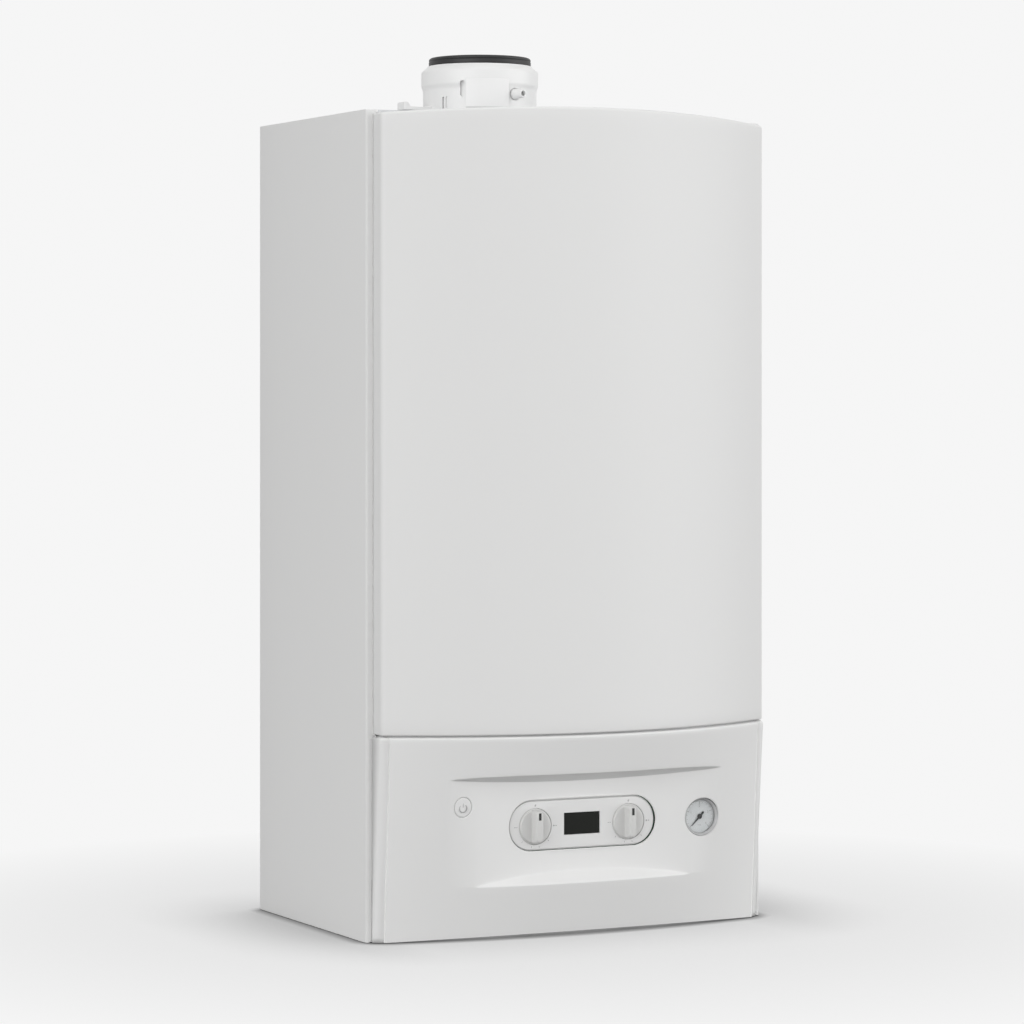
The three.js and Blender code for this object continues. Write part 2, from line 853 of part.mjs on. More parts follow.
function makePowerButton() {
  const cap = faceBlock(button.rear).intersect(
    rodY(button.radius, button.rear - overrun, depth, button.x, button.z, sides.middle),
  );
  const stem = rodY(button.stem, button.stemRear, button.rear + button.gap, button.x, button.z, sides.tiny);
  return fuse(cap, stem);
}

const powerSwitch = { half: 7, travel: 1.8 };

function makePowerSwitch() {
  const front = button.stemRear - powerSwitch.travel - seat;
  return block(
    button.x - powerSwitch.half, button.x + powerSwitch.half, boardFront + seat, front,
    button.z - powerSwitch.half, button.z + powerSwitch.half,
  );
}

function makeGaugeHousing() {
  const outer = gauge.hole - seat;
  return turnedY([
    [0, gauge.rear],
    [outer, gauge.rear],
    [outer, gauge.front],
    [outer - gauge.wall, gauge.front],
    [gauge.lensRadius + seat, gauge.lensFront],
    [gauge.lensRadius + seat, gauge.lensRear - seat],
    [gauge.dial + seat, gauge.lensRear - seat],
    [gauge.dial + seat, gauge.dialRear - seat],
    [0, gauge.dialRear - seat],
  ], gauge.x, gauge.z, sides.large);
}

function makeGaugeDial() {
  return turnedY([
    [gauge.pivot + seat, gauge.dialRear],
    [gauge.dial, gauge.dialRear],
    [gauge.dial, gauge.dialFront],
    [gauge.pivot + seat, gauge.dialFront],
  ], gauge.x, gauge.z, sides.large);
}

const needle = {
  hub: 2.6,
  tip: 11,
  tail: 4.8,
  rootHalf: 1,
  tipHalf: 0.35,
  tailHalf: 1.5,
  restShare: 0.625,
  ...measuredFrom(gauge.dialFront, { rear: 0.4, front: 1.2 }),
};

// The needle lies at the dial's lower stop, towards the lower left
function makeGaugeNeedle() {
  const angle = needle.restShare * Math.PI * 2;
  const along = [Math.cos(angle), Math.sin(angle)];
  const across = [-along[1], along[0]];
  const point = (ahead, aside) => [
    gauge.x + along[0] * ahead + across[0] * aside,
    gauge.z + along[1] * ahead + across[1] * aside,
  ];
  const arrow = outline([
    point(needle.tip, -needle.tipHalf),
    point(needle.tip, needle.tipHalf),
    point(0, needle.rootHalf),
    point(-needle.tail, needle.tailHalf),
    point(-needle.tail, -needle.tailHalf),
    point(0, -needle.rootHalf),
  ]);
  const blade = extrudeY(arrow, needle.rear, needle.front);
  const hub = rodY(needle.hub, needle.rear, needle.front + seat, gauge.x, gauge.z, sides.small);
  const staff = rodY(gauge.pivot, gauge.dialRear, needle.front, gauge.x, gauge.z, sides.tiny);
  return fuse(blade, hub, staff);
}

function makeGaugeLens() {
  return rodY(gauge.lensRadius, gauge.lensRear, gauge.lensFront, gauge.x, gauge.z, sides.large);
}

const boxProfile = {
  backHigh: 140,
  shoulderReach: box.rear + (box.front - box.rear) * box.shoulderShare,
  shoulderHigh: 163,
  frontHigh: 170,
};

function boxSide(margin) {
  return outline([
    [fromWall(box.front + margin), box.low + box.wall],
    [fromWall(box.rear + box.wall), box.low + box.wall],
    [fromWall(box.rear + box.wall), boxProfile.backHigh - box.wall],
    [fromWall(boxProfile.shoulderReach), boxProfile.shoulderHigh - box.wall],
    [fromWall(box.front + margin), boxProfile.frontHigh - box.wall],
  ]);
}

function makeElectronicsBox() {
  const shell = extrudeX(outline([
    [fromWall(box.front), box.low],
    [fromWall(box.rear), box.low],
    [fromWall(box.rear), boxProfile.backHigh],
    [fromWall(boxProfile.shoulderReach), boxProfile.shoulderHigh],
    [fromWall(box.front), boxProfile.frontHigh],
  ]), -box.half, box.half);
  const hollow = extrudeX(boxSide(overrun), -box.half + box.wall, box.half - box.wall);
  const supports = [];
  for (const side of [-1, 1]) {
    for (const z of [box.columnLow, box.columnHigh]) {
      supports.push(rodY(
        box.columnRadius, box.rear + box.wall / 2, box.front, side * box.columnX, z, sides.tiny,
      ));
    }
    for (const z of [box.postLow, box.postHigh]) {
      supports.push(rodY(
        box.postRadius, box.rear + box.wall / 2, board.rear - seat, side * box.postX, z, sides.tiny,
      ));
    }
  }
  return fuse(cut(shell, hollow), ...supports.map((support) => support.intersect(shell)));
}

const chips = {
  relayShares: [-0.68, -0.51, 0.63, 0.77],
  relayHalf: 8,
  relayHigh: 12,
  transformerShare: -0.14,
  transformerHalf: 18,
  transformerDeep: 26,
  plugShares: [-0.43, 0.21, 0.5],
  plugHalf: 9,
  plugDeep: 10,
};

function makeControlBoard() {
  const sheet = block(-board.half, board.half, board.rear, boardFront, board.low, board.high);
  const middle = (board.low + board.high) / 2;
  const onBoard = (share) => share * board.half;
  const relays = chips.relayShares.map(onBoard).map((x) => block(
    x - chips.relayHalf, x + chips.relayHalf, board.rear - chips.relayHigh, board.rear + board.sheet / 2,
    middle, middle + chips.relayHalf * 2,
  ));
  const transformerX = onBoard(chips.transformerShare);
  const transformer = block(
    transformerX - chips.transformerHalf, transformerX + chips.transformerHalf,
    board.rear - chips.transformerDeep, board.rear + board.sheet / 2,
    middle - chips.transformerHalf, middle + chips.transformerHalf,
  );
  const plugs = chips.plugShares.map(onBoard).map((x) => block(
    x - chips.plugHalf, x + chips.plugHalf, board.rear - chips.plugDeep, board.rear + board.sheet / 2,
    board.low + board.sheet, board.low + board.sheet + chips.plugHalf,
  ));
  return fuse(sheet, ...relays, transformer, ...plugs);
}

// Flue adaptor on the top plate: flanged collar with shoulder, test nozzle, clip tab and slots

const flue = {
  flange: 60,
  flangeSheet: 3,
  collar: 53,
  shoulder: 56.3,
  neck: 49.7,
  bore: 46,
  sealOuter: 48.7,
  sealInner: 44,
  pipeRadius: 30,
  pipeBore: 28.5,
  ...measuredFrom(casing.height, {
    shoulderLow: 37,
    shoulderHigh: 47,
    neckLow: 52,
    sealLow: 57,
    high: 60,
    innerTop: 63,
    sealTop: 67,
  }),
};
const tab = {
  end: 83,
  width: 16,
  thick: 3,
  lip: 5,
  ...measuredFrom(casing.height, { webHigh: 18.5, high: 23 }),
};
const nozzle = {
  azimuth: 102,
  radius: 5,
  bore: 2.6,
  length: 14,
  base: 6.6,
  baseShare: 0.35,
  ...measuredFrom(casing.height, { height: 29 }),
};
const slot = {
  half: 2.6,
  depth: 2,
  azimuth: 46,
  pairAzimuth: [25, 31],
  pairHalf: 1.2,
  ...measuredFrom(casing.height, { pairLow: 16, low: 25, high: 40 }),
};
const pad = {
  rise: 1.3,
  azimuth: 96,
  halfWidth: 45,
  ...measuredFrom(casing.height, { low: 17, high: 42 }),
};

function flueSpoke(azimuth, solid) {
  return solid.translate([0, -fromWall(flueAxis), 0])
    .rotate([0, 0, azimuth])
    .translate([0, fromWall(flueAxis), 0]);
}

function makeFlueAdaptor() {
  const base = casing.height + seat;
  const collar = turnedZ([
    [flue.bore, base],
    [flue.flange, base],
    [flue.flange, base + flue.flangeSheet],
    [flue.collar, base + flue.flangeSheet * 2],
    [flue.collar, flue.shoulderLow],
    [flue.shoulder, flue.shoulderLow + flue.flangeSheet / 2],
    [flue.shoulder, flue.shoulderHigh],
    [flue.neck, flue.neckLow],
    [flue.neck, flue.high],
    [flue.sealInner + flue.sealOuter - flue.bore, flue.high],
    [flue.sealInner + flue.sealOuter - flue.bore, flue.sealLow - flue.flangeSheet],
    [flue.bore, flue.sealLow - flue.flangeSheet],
  ], 0, flueAxis, sides.large);
  const web = block(-tab.end, -flue.collar + overrun, flueAxis - tab.width / 2, flueAxis + tab.width / 2,
    tab.webHigh - tab.thick, tab.webHigh);
  const lip = block(-tab.end, -tab.end + tab.lip, flueAxis - tab.width / 2, flueAxis + tab.width / 2,
    tab.webHigh - tab.thick, tab.high);
  const spout = flueSpoke(nozzle.azimuth, rodX(
    nozzle.radius, -flue.collar - nozzle.length, -flue.collar + overrun, flueAxis, nozzle.height, sides.small,
  ));
  const spoutBase = flueSpoke(nozzle.azimuth, rodX(
    nozzle.base, -flue.collar - nozzle.length * nozzle.baseShare, -flue.collar + overrun,
    flueAxis, nozzle.height, sides.small,
  ));
  const spoutBore = flueSpoke(nozzle.azimuth, rodX(
    nozzle.bore, -flue.collar - nozzle.length - overrun, -flue.collar + overrun,
    flueAxis, nozzle.height, sides.tiny,
  ));
  const padRing = turnedZ([
    [flue.collar - pad.rise, pad.low],
    [flue.collar + pad.rise, pad.low],
    [flue.collar + pad.rise, pad.high - pad.rise],
    [flue.collar - pad.rise, pad.high + pad.rise],
  ], 0, flueAxis, sides.large);
  const padSide = flueSpoke(pad.azimuth, block(
    -flue.flange, -flue.collar / 2, flueAxis - pad.halfWidth, flueAxis + pad.halfWidth, pad.low, pad.high,
  ));
  const slotBlock = (azimuth, half, low, high) => flueSpoke(azimuth, block(
    -flue.flange, -flue.collar + slot.depth, flueAxis - half, flueAxis + half, low, high,
  ));
  const marks = slot.pairAzimuth.map((azimuth) => slotBlock(azimuth, slot.pairHalf, slot.pairLow, slot.low));
  marks.push(slotBlock(slot.azimuth, slot.half, slot.low, slot.high));
  return cut(fuse(collar, padRing.intersect(padSide), web, lip, spoutBase, spout), spoutBore, ...marks);
}

function makeFlueSeal() {
  const groove = flue.sealInner + flue.sealOuter - flue.bore - seat;
  return turnedZ([
    [flue.sealInner, flue.sealLow - flue.flangeSheet + seat],
    [groove, flue.sealLow - flue.flangeSheet + seat],
    [groove, flue.high + seat],
    [flue.sealOuter, flue.high + seat],
    [flue.sealOuter, flue.sealTop - flue.flangeSheet / 2],
    [flue.sealOuter - flue.flangeSheet / 2, flue.sealTop],
    [flue.sealInner, flue.sealTop],
  ], 0, flueAxis, sides.large);
}

// Heat exchanger group

const exchanger = {
  shell: 98,
  bore: 92,
  rear: 34,
  back: 40,
  flange: 106,
  spigot: 32,
  drainRadius: 11,
  returnReach: 70,
  returnDrop: 30,
  tube: 11,
  tubeEnd: 114,
  flowX: -70,
  lugX: 70,
  lugWidth: 24,
  lugHigh: 30,
  ...measuredFrom(casing.height, { drainLow: -288, flowLow: -262, z: -165, spigotTop: -36 }),
  ...measuredFrom(casing.sideDepth, { flowReach: -116, flangeRear: -68, front: -62 }),
};

function makeHeatExchanger() {
  const shell = turnedY([
    [0, exchanger.rear],
    [exchanger.shell, exchanger.rear],
    [exchanger.shell, exchanger.flangeRear],
    [exchanger.flange, exchanger.flangeRear],
    [exchanger.flange, exchanger.front],
    [0, exchanger.front],
  ], 0, exchanger.z, sides.large);
  const spigot = rodZ(exchanger.spigot, exchanger.z, exchanger.spigotTop, 0, flueAxis, sides.middle);
  const drainSpigot = rodZ(exchanger.drainRadius, exchanger.drainLow, exchanger.z, 0, flueAxis, sides.tiny);
  const flow = rodZ(
    exchanger.tube, exchanger.flowLow, exchanger.z, exchanger.flowX, exchanger.flowReach, sides.tiny,
  );
  const back = rodX(exchanger.tube, 0, exchanger.tubeEnd, exchanger.returnReach,
    exchanger.z - exchanger.returnDrop, sides.tiny);
  const lugs = [-1, 1].map((side) => block(
    side * exchanger.lugX - exchanger.lugWidth / 2, side * exchanger.lugX + exchanger.lugWidth / 2,
    backFront + seat, exchanger.back, exchanger.z - exchanger.lugHigh, exchanger.z + exchanger.lugHigh,
  ));
  const hollow = rodY(exchanger.bore, exchanger.back, exchanger.front + overrun, 0, exchanger.z, sides.large);
  const flueBore = rodZ(flue.pipeBore, exchanger.z, exchanger.spigotTop + overrun, 0, flueAxis, sides.middle);
  return cut(fuse(shell, spigot, drainSpigot, flow, back, ...lugs), hollow, flueBore);
}

const burner = { radius: 36, wall: 2, rear: 74, rim: 44, rimDepth: 3 };

function makeBurner() {
  const front = exchanger.front;
  return turnedY([
    [0, burner.rear],
    [burner.radius, burner.rear],
    [burner.radius, front - burner.rimDepth],
    [burner.rim, front - burner.rimDepth],
    [burner.rim, front],
    [burner.radius - burner.wall, front],
    [burner.radius - burner.wall, burner.rear + burner.wall],
    [0, burner.rear + burner.wall],
  ], 0, exchanger.z, sides.middle);
}

// The fan hangs beside the right wall, just clear of the exchanger's flange
const fanPlace = { radius: 52, wallGap: 20.3, flangeGap: 12.74 };
const fanX = innerHalf - fanPlace.radius - fanPlace.wallGap;
const fanZ = exchanger.z - Math.sqrt(
  (exchanger.flange + fanPlace.radius + fanPlace.flangeGap) ** 2 - fanX ** 2,
);
const fan = {
  x: fanX,
  z: fanZ,
  radius: fanPlace.radius,
  wall: 6,
  inlet: 22,
  shaftHole: 9,
  motorRadius: 34,
  shaft: 4,
  wheel: 42,
  hub: 10,
  blades: 10,
  bladeInner: 24,
  bladeThick: 1.6,
  bladeTurn: 35,
  ...measuredFrom(fanX, { ductLeft: 6, ductRight: 46 }),
  ...measuredFrom(fanZ, { ductHigh: 68 }),
  ...measuredFrom(casing.sideDepth, {
    motorRear: -154,
    rear: -106,
    ductRear: -96,
    wheelRear: -96,
    wheelFront: -68,
    front: -54,
  }),
};
const door = {
  plate: 12,
  boss: 44,
  armEnd: 24,
  rootShare: 0.8,
  stud: 6,
  studCircle: 98,
  studFront: 5,
  studs: 6,
  ...measuredFrom(casing.sideDepth, { bossFront: -32 }),
};
const doorRear = exchanger.front + seat;
const doorFront = doorRear + door.plate;
const electrode = {
  x: -46,
  rise: 28,
  ceramic: 5,
  tip: 1.5,
  flange: 9,
  lip: 3,
  cap: 28,
  ...measuredFrom(casing.sideDepth, { tipRear: -126, rear: -96 }),
};
const armX = (fan.ductLeft + fan.ductRight) / 2;
const armZ = fan.ductHigh - door.armEnd + overrun;

// Burner door with the arm that carries the gas and air from the fan to the burner
function makeBurnerDoor() {
  const disc = rodY(exchanger.flange, doorRear, doorFront, 0, exchanger.z, sides.large);
  const boss = turnedY([
    [0, doorFront],
    [door.boss, doorFront],
    [door.boss, door.bossFront - door.stud],
    [door.boss - door.stud, door.bossFront],
    [0, door.bossFront],
  ], 0, exchanger.z, sides.middle);
  const along = new THREE.Vector2(armX, armZ - exchanger.z);
  const length = along.length();
  along.normalize();
  const across = [-along.y, along.x];
  const arm = extrudeY(outline([
    [across[0] * door.boss * door.rootShare, exchanger.z + across[1] * door.boss * door.rootShare],
    [-across[0] * door.boss * door.rootShare, exchanger.z - across[1] * door.boss * door.rootShare],
    [along.x * length - across[0] * door.armEnd, exchanger.z + along.y * length - across[1] * door.armEnd],
    [along.x * length + across[0] * door.armEnd, exchanger.z + along.y * length + across[1] * door.armEnd],
  ]), doorFront - seat, door.bossFront - door.stud);
  const end = rodY(door.armEnd, doorFront - seat, door.bossFront - door.stud, armX, armZ, sides.middle);
  const hole = rodY(electrode.ceramic + seat, doorRear - overrun, door.bossFront + overrun,
    electrode.x, exchanger.z + electrode.rise, sides.small);
  const studs = [];
  for (let i = 0; i < door.studs; i += 1) {
    const angle = (Math.PI * (2 * i + 1)) / door.studs;
    studs.push(rodY(door.stud, doorFront - seat, doorFront + door.studFront,
      door.studCircle * Math.cos(angle), exchanger.z + door.studCircle * Math.sin(angle), 6));
  }
  const body = fuse(disc, boss, arm, end, ...studs);
  return cut(body, hole);
}

function makeElectrode() {
  const z = exchanger.z + electrode.rise;
  return turnedY([
    [0, electrode.tipRear],
    [electrode.tip, electrode.tipRear],
    [electrode.tip, electrode.rear],
    [electrode.ceramic, electrode.rear],
    [electrode.ceramic, doorFront + seat],
    [electrode.flange, doorFront + seat],
    [electrode.flange, doorFront + seat + electrode.lip],
    [electrode.ceramic, doorFront + seat + electrode.lip],
    [electrode.lip, doorFront + electrode.cap],
    [0, doorFront + electrode.cap],
  ], electrode.x, z, sides.small);
}

function makeFanHousing() {
  const drum = rodY(fan.radius, fan.rear, fan.front, fan.x, fan.z, sides.large);
  const duct = block(fan.ductLeft, fan.ductRight, fan.ductRear, fan.front, fan.z, fan.ductHigh);
  const outlet = block(
    fan.ductLeft, fan.ductRight, fan.front - fan.wall, doorFront - seat * 2,
    armZ - door.armEnd + overrun, fan.ductHigh,
  );
  const cavity = rodY(
    fan.radius - fan.wall, fan.rear + fan.wall, fan.front - fan.wall, fan.x, fan.z, sides.middle,
  );
  const ductHollow = block(
    fan.ductLeft + fan.wall / 2, fan.ductRight - fan.wall / 2, fan.ductRear + fan.wall / 2,
    doorFront + overrun, fan.z + fan.radius, fan.ductHigh - fan.wall / 2,
  );
  const throat = block(
    fan.ductLeft + fan.wall / 2, fan.ductRight - fan.wall / 2, fan.ductRear + fan.wall / 2,
    fan.front - fan.wall, fan.z + overrun, fan.z + fan.radius + overrun,
  );
  const inlet = rodY(
    fan.inlet, fan.front - fan.wall - overrun, fan.front + overrun, fan.x, fan.z, sides.middle,
  );
  const shaftHole = rodY(
    fan.shaftHole, fan.rear - overrun, fan.rear + fan.wall + overrun, fan.x, fan.z, sides.tiny,
  );
  return cut(fuse(drum, duct, outlet), cavity, throat, ductHollow, inlet, shaftHole);
}

// Impeller: back disc, hub, curved blades and a shaft into the motor
function makeFanImpeller() {
  const disc = rodY(fan.wheel, fan.wheelRear, fan.wheelRear + fan.bladeThick, fan.x, fan.z, sides.middle);
  const hub = rodY(fan.hub, fan.wheelRear, fan.wheelFront, fan.x, fan.z, sides.tiny);
  const shaft = rodY(fan.shaft, fan.motorRear + fan.wall, fan.wheelRear + fan.wall, fan.x, fan.z, sides.tiny);
  const blades = [];
  for (let i = 0; i < fan.blades; i += 1) {
    const start = (i / fan.blades) * Math.PI * 2;
    const sweep = THREE.MathUtils.degToRad(fan.bladeTurn);
    const inner = [];
    const outer = [];
    for (const share of [0, 0.5, 1]) {
      const radius = fan.bladeInner + (fan.wheel - fan.bladeThick - fan.bladeInner) * share;
      const angle = start - sweep * share;
      const wide = fan.bladeThick / 2 / radius;
      inner.push([fan.x + radius * Math.cos(angle - wide), fan.z + radius * Math.sin(angle - wide)]);
      outer.push([fan.x + radius * Math.cos(angle + wide), fan.z + radius * Math.sin(angle + wide)]);
    }
    blades.push(extrudeY(outline([...inner, ...outer.reverse()]), fan.wheelRear, fan.wheelFront));
  }
  return fuse(disc, hub, shaft, ...blades);
}

function makeFanMotor() {
  const body = turnedY([
    [0, fan.motorRear],
    [fan.motorRadius - fan.wall, fan.motorRear],
    [fan.motorRadius, fan.motorRear + fan.wall],
    [fan.motorRadius, fan.rear - seat],
    [0, fan.rear - seat],
  ], fan.x, fan.z, sides.middle);
  const bore = rodY(
    fan.shaft + seat, fan.motorRear + fan.wall - seat, fan.rear + overrun, fan.x, fan.z, sides.tiny,
  );
  return cut(body, bore);
}

const venturi = {
  flange: 28,
  flangeDeep: 5,
  barrel: 24,
  throat: 14,
  mouth: 20,
  spigot: 8,
  ...measuredFrom(casing.sideDepth, { front: -21 }),
  ...measuredFrom(fanZ, { spigotLow: -32 }),
};

function makeVenturi() {
  const rear = fan.front + seat;
  const body = turnedY([
    [fan.inlet - venturi.flangeDeep, rear],
    [venturi.flange, rear],
    [venturi.flange, rear + venturi.flangeDeep],
    [venturi.barrel, rear + venturi.flangeDeep],
    [venturi.barrel, venturi.front],
    [venturi.mouth, venturi.front],
    [venturi.throat, (rear + venturi.front) / 2],
  ], fan.x, fan.z, sides.middle);
  const middle = (rear + venturi.front) / 2;
  const spigot = rodZ(venturi.spigot, venturi.spigotLow, fan.z - venturi.throat - venturi.flangeDeep,
    fan.x, middle, sides.tiny);
  return fuse(body, spigot);
}

const silencer = {
  radius: 14,
  wall: 2,
  mouth: 18,
  slot: 60,
  ...measuredFrom(fanX, { left: -44, right: 44 }),
  ...measuredFrom(fanZ, { low: -132, high: 24 }),
  ...measuredFrom(casing.sideDepth, { front: 16 }),
};

function makeSilencer() {
  const rear = venturi.front + seat;
  const body = extrudeY(
    roundedRectangle(silencer.left, silencer.right, silencer.low, silencer.high, silencer.radius),
    rear, silencer.front, curve.coarse,
  );
  const hollow = extrudeY(
    roundedRectangle(
      silencer.left + silencer.wall, silencer.right - silencer.wall,
      silencer.low + silencer.wall, silencer.high - silencer.wall, silencer.radius - silencer.wall,
    ),
    rear + silencer.wall, silencer.front - silencer.wall, 2,
  );
  const mouth = rodY(
    silencer.mouth, rear - overrun, rear + silencer.wall + overrun, fan.x, fan.z, sides.small,
  );
  const middle = (silencer.left + silencer.right) / 2;
  const slot = block(
    middle - silencer.slot / 2, middle + silencer.slot / 2,
    rear + silencer.wall * 3, silencer.front - silencer.wall * 3,
    silencer.low - overrun, silencer.low + silencer.wall + overrun,
  );
  return cut(body, hollow, mouth, slot);
}

// Gas group

// The gas valve stands between the electronics box and the venturi, part of the way up
const valveTall = 72;
const valveShare = 0.4255;
const valveRoom = venturi.spigotLow - boxProfile.frontHigh - valveTall;
const valve = {
  coilRadius: 13,
  knobRadius: 8,
  ...measuredFrom(fanX, { left: -68, coilLeft: -52, pipeX: -40, coilRight: -24, right: -10 }),
  ...measuredFrom(boxProfile.frontHigh + valveRoom * valveShare, { low: 0, coilZ: 40, high: valveTall }),
  ...measuredFrom(casing.sideDepth, { rear: -136, pipeReach: -103, front: -70, coilFront: -34 }),
};
const gasPipe = { radius: 8, bend: 12, steps: 20, rise: 22, upperShare: 0.574 };

function makeGasValve() {
  const body = extrudeY(
    roundedRectangle(valve.left, valve.right, valve.low, valve.high, valve.knobRadius),
    valve.rear, valve.front, 2,
  );
  const coils = [valve.coilLeft, valve.coilRight].map((x) => turnedY([
    [0, valve.front - seat],
    [valve.coilRadius, valve.front - seat],
    [valve.coilRadius, valve.coilFront - gasPipe.radius / 2],
    [valve.coilRadius - gasPipe.radius / 2, valve.coilFront],
    [0, valve.coilFront],
  ], x, valve.coilZ, sides.small));
  const regulator = rodY(valve.knobRadius, valve.front - seat, valve.front + gasPipe.radius,
    valve.pipeX, valve.low + valve.knobRadius * 1.8, sides.tiny);
  return fuse(body, ...coils, regulator);
}

function makeLowerGasPipe() {
  const z = valve.low - gasPipe.rise;
  return pipe([
    [0, stubReach, stub.high + seat],
    [0, stubReach, z],
    [valve.pipeX, valve.pipeReach, z],
    [valve.pipeX, valve.pipeReach, valve.low - seat],
  ], gasPipe.radius, gasPipe.bend, gasPipe.steps);
}

function makeUpperGasPipe() {
  const reach = (fan.front + seat + venturi.front) / 2;
  const z = valve.high + (venturi.spigotLow - valve.high) * gasPipe.upperShare;
  return pipe([
    [valve.pipeX, valve.pipeReach, valve.high + seat],
    [valve.pipeX, valve.pipeReach, z],
    [fan.x, reach, z],
    [fan.x, reach, venturi.spigotLow - seat],
  ], gasPipe.radius, gasPipe.bend, gasPipe.steps);
}

const exchangerPlates = {
  rear: 16,
  front: 58,
  low: 72,
  high: 144,
  ends: 3,
  plates: 5,
  groove: 1.4,
  ...measuredFrom(2 * stubPitch, { half: -35 }),
};

// Condensate group

const trapShare = 0.344;
const trap = {
  radius: 30,
  neck: 12,
  cone: 16,
  nut: 16,
  low: exchangerPlates.high + (exchanger.drainLow - exchangerPlates.high) * trapShare,
  ...measuredFrom(exchanger.drainLow, { high: -60, neckHigh: -34 }),
};
const hose = { radius: 10, bend: 12, steps: 16 };

function makeCondensateTrap() {
  return turnedZ([
    [0, trap.low],
    [trap.nut, trap.low],
    [trap.radius, trap.low + trap.cone],
    [trap.radius, trap.high - trap.cone / 2],
    [trap.radius - trap.cone / 4, trap.high],
    [trap.neck, trap.high],
    [trap.neck, trap.neckHigh],
    [0, trap.neckHigh],
  ], drain.x, drain.reach, sides.middle);
}

function makeCondensateHose() {
  const top = exchanger.drainLow - seat;
  const low = trap.neckHigh + seat;
  return pipe([
    [drain.x, drain.reach, low],
    [drain.x, drain.reach, low + (top - low) / 2],
    [0, flueAxis, low + (top - low) / 2],
    [0, flueAxis, top],
  ], hose.radius, hose.bend, hose.steps);
}

function makeCondensateDrain() {
  return turnedZ([
    [0, drain.low],
    [drain.radius, drain.low],
    [drain.radius, trap.low - seat],
    [0, trap.low - seat],
  ], drain.x, drain.reach, sides.tiny);
}

// Expansion vessel: two pressed halves with a rolled seam, standing against the left side panel

const vesselGap = 10;
const vessel = {
  thick: innerHalf - seat - exchanger.flange - vesselGap,
  rear: 14,
  flat: 9,
  dome: 16,
  seam: 4,
  ...measuredFrom(casing.height, { low: -328, high: -24 }),
  ...measuredFrom(casing.sideDepth, { front: -14 }),
};

function vesselSlice(inset) {
  const radius = (vessel.front - vessel.rear) / 2 - vessel.flat;
  return roundedRectangle(
    fromWall(vessel.front - inset), fromWall(vessel.rear + inset),
    vessel.low + inset, vessel.high - inset, radius - inset,
  );
}

function makeExpansionVessel() {
  const left = -innerHalf + seat;
  const right = left + vessel.thick;
  const middle = (left + right) / 2;
  const inset = vessel.dome / 2;
  return fuse(
    extrudeX(vesselSlice(inset * 2), left, right, curve.pipe),
    extrudeX(vesselSlice(inset), left + inset, right - inset, curve.pipe),
    extrudeX(vesselSlice(0), middle - vessel.seam, middle + vessel.seam, curve.pipe),
  );
}

// Hydraulic group

const hydraulics = {
  width: 42,
  low: 46,
  high: 140,
  front: 120,
  armHigh: 70,
  armHalf: 13,
  neckHalf: 12,
  ...measuredFrom(stubPitch, { armInner: -12 }),
};

// Plate heat exchanger: stacked plates between two end plates, shown by the grooves round the stack
function makePlateExchanger() {
  const plates = exchangerPlates;
  const body = block(-plates.half, plates.half, plates.rear, plates.front, plates.low, plates.high);
  const first = plates.rear + plates.ends;
  const pitch = (plates.front - plates.rear - plates.ends * 2) / plates.plates;
  const inner = block(
    -plates.half + plates.groove, plates.half - plates.groove, plates.rear, plates.front,
    plates.low + plates.groove, plates.high - plates.groove,
  );
  let stack = body;
  for (let i = 0; i < plates.plates; i += 1) {
    const rear = first + pitch * i;
    const band = block(
      -plates.half - overrun, plates.half + overrun, rear, rear + pitch / 2,
      plates.low - overrun, plates.high + overrun,
    );
    stack = stack.subtract(band.subtract(inner));
  }
  return stack;
}

const pump = {
  z: 196,
  radius: 42,
  rear: 78,
  front: 122,
  cavity: 30,
  cavityRear: 88,
  flange: 42,
  flangeFront: 128,
  motorRadius: 36,
  motorFront: 158,
  capFront: 162,
  shaft: 3,
  shaftFront: 150,
  wheel: 27,
  wheelRear: 92,
  wheelFront: 110,
  blades: 6,
  bladeThick: 2,
  ventBoss: 9,
  ventBossHigh: 245,
  outletRadius: 12,
  outletHigh: 236,
  ...measuredFrom(2 * stubPitch, { x: 0, outletX: 30 }),
};
const safety = {
  z: 75,
  radius: 13,
  front: 140,
  knobRadius: 15,
  knobFront: 157,
  stem: 4,
  ribs: 8,
  outlet: 7,
  side: 20,
};
const diverter = { z: 100, collar: 14, collarFront: 128, half: 19, front: 158, rodRadius: 3, corner: 4 };

function makeFlowBlock() {
  const inner = -exchangerPlates.half - seat;
  const outer = inner - hydraulics.width;
  const column = extrudeZ(
    roundedRectangle(outer, inner, fromWall(hydraulics.front), fromWall(exchangerPlates.rear), overrun),
    hydraulics.low, hydraulics.high, 1,
  );
  const arm = block(
    inner - overrun, -hydraulics.armInner, stubReach - hydraulics.armHalf, stubReach + hydraulics.armHalf,
    hydraulics.low, hydraulics.armHigh,
  );
  return fuse(column, arm);
}

function makeReturnBlock() {
  const inner = exchangerPlates.half + seat;
  const outer = inner + hydraulics.width;
  const column = extrudeZ(
    roundedRectangle(inner, outer, fromWall(hydraulics.front), fromWall(exchangerPlates.rear), overrun),
    hydraulics.low, hydraulics.high, 1,
  );
  const arm = block(
    hydraulics.armInner, inner + overrun, stubReach - hydraulics.armHalf, stubReach + hydraulics.armHalf,
    hydraulics.low, hydraulics.armHigh,
  );
  return fuse(column, arm);
}

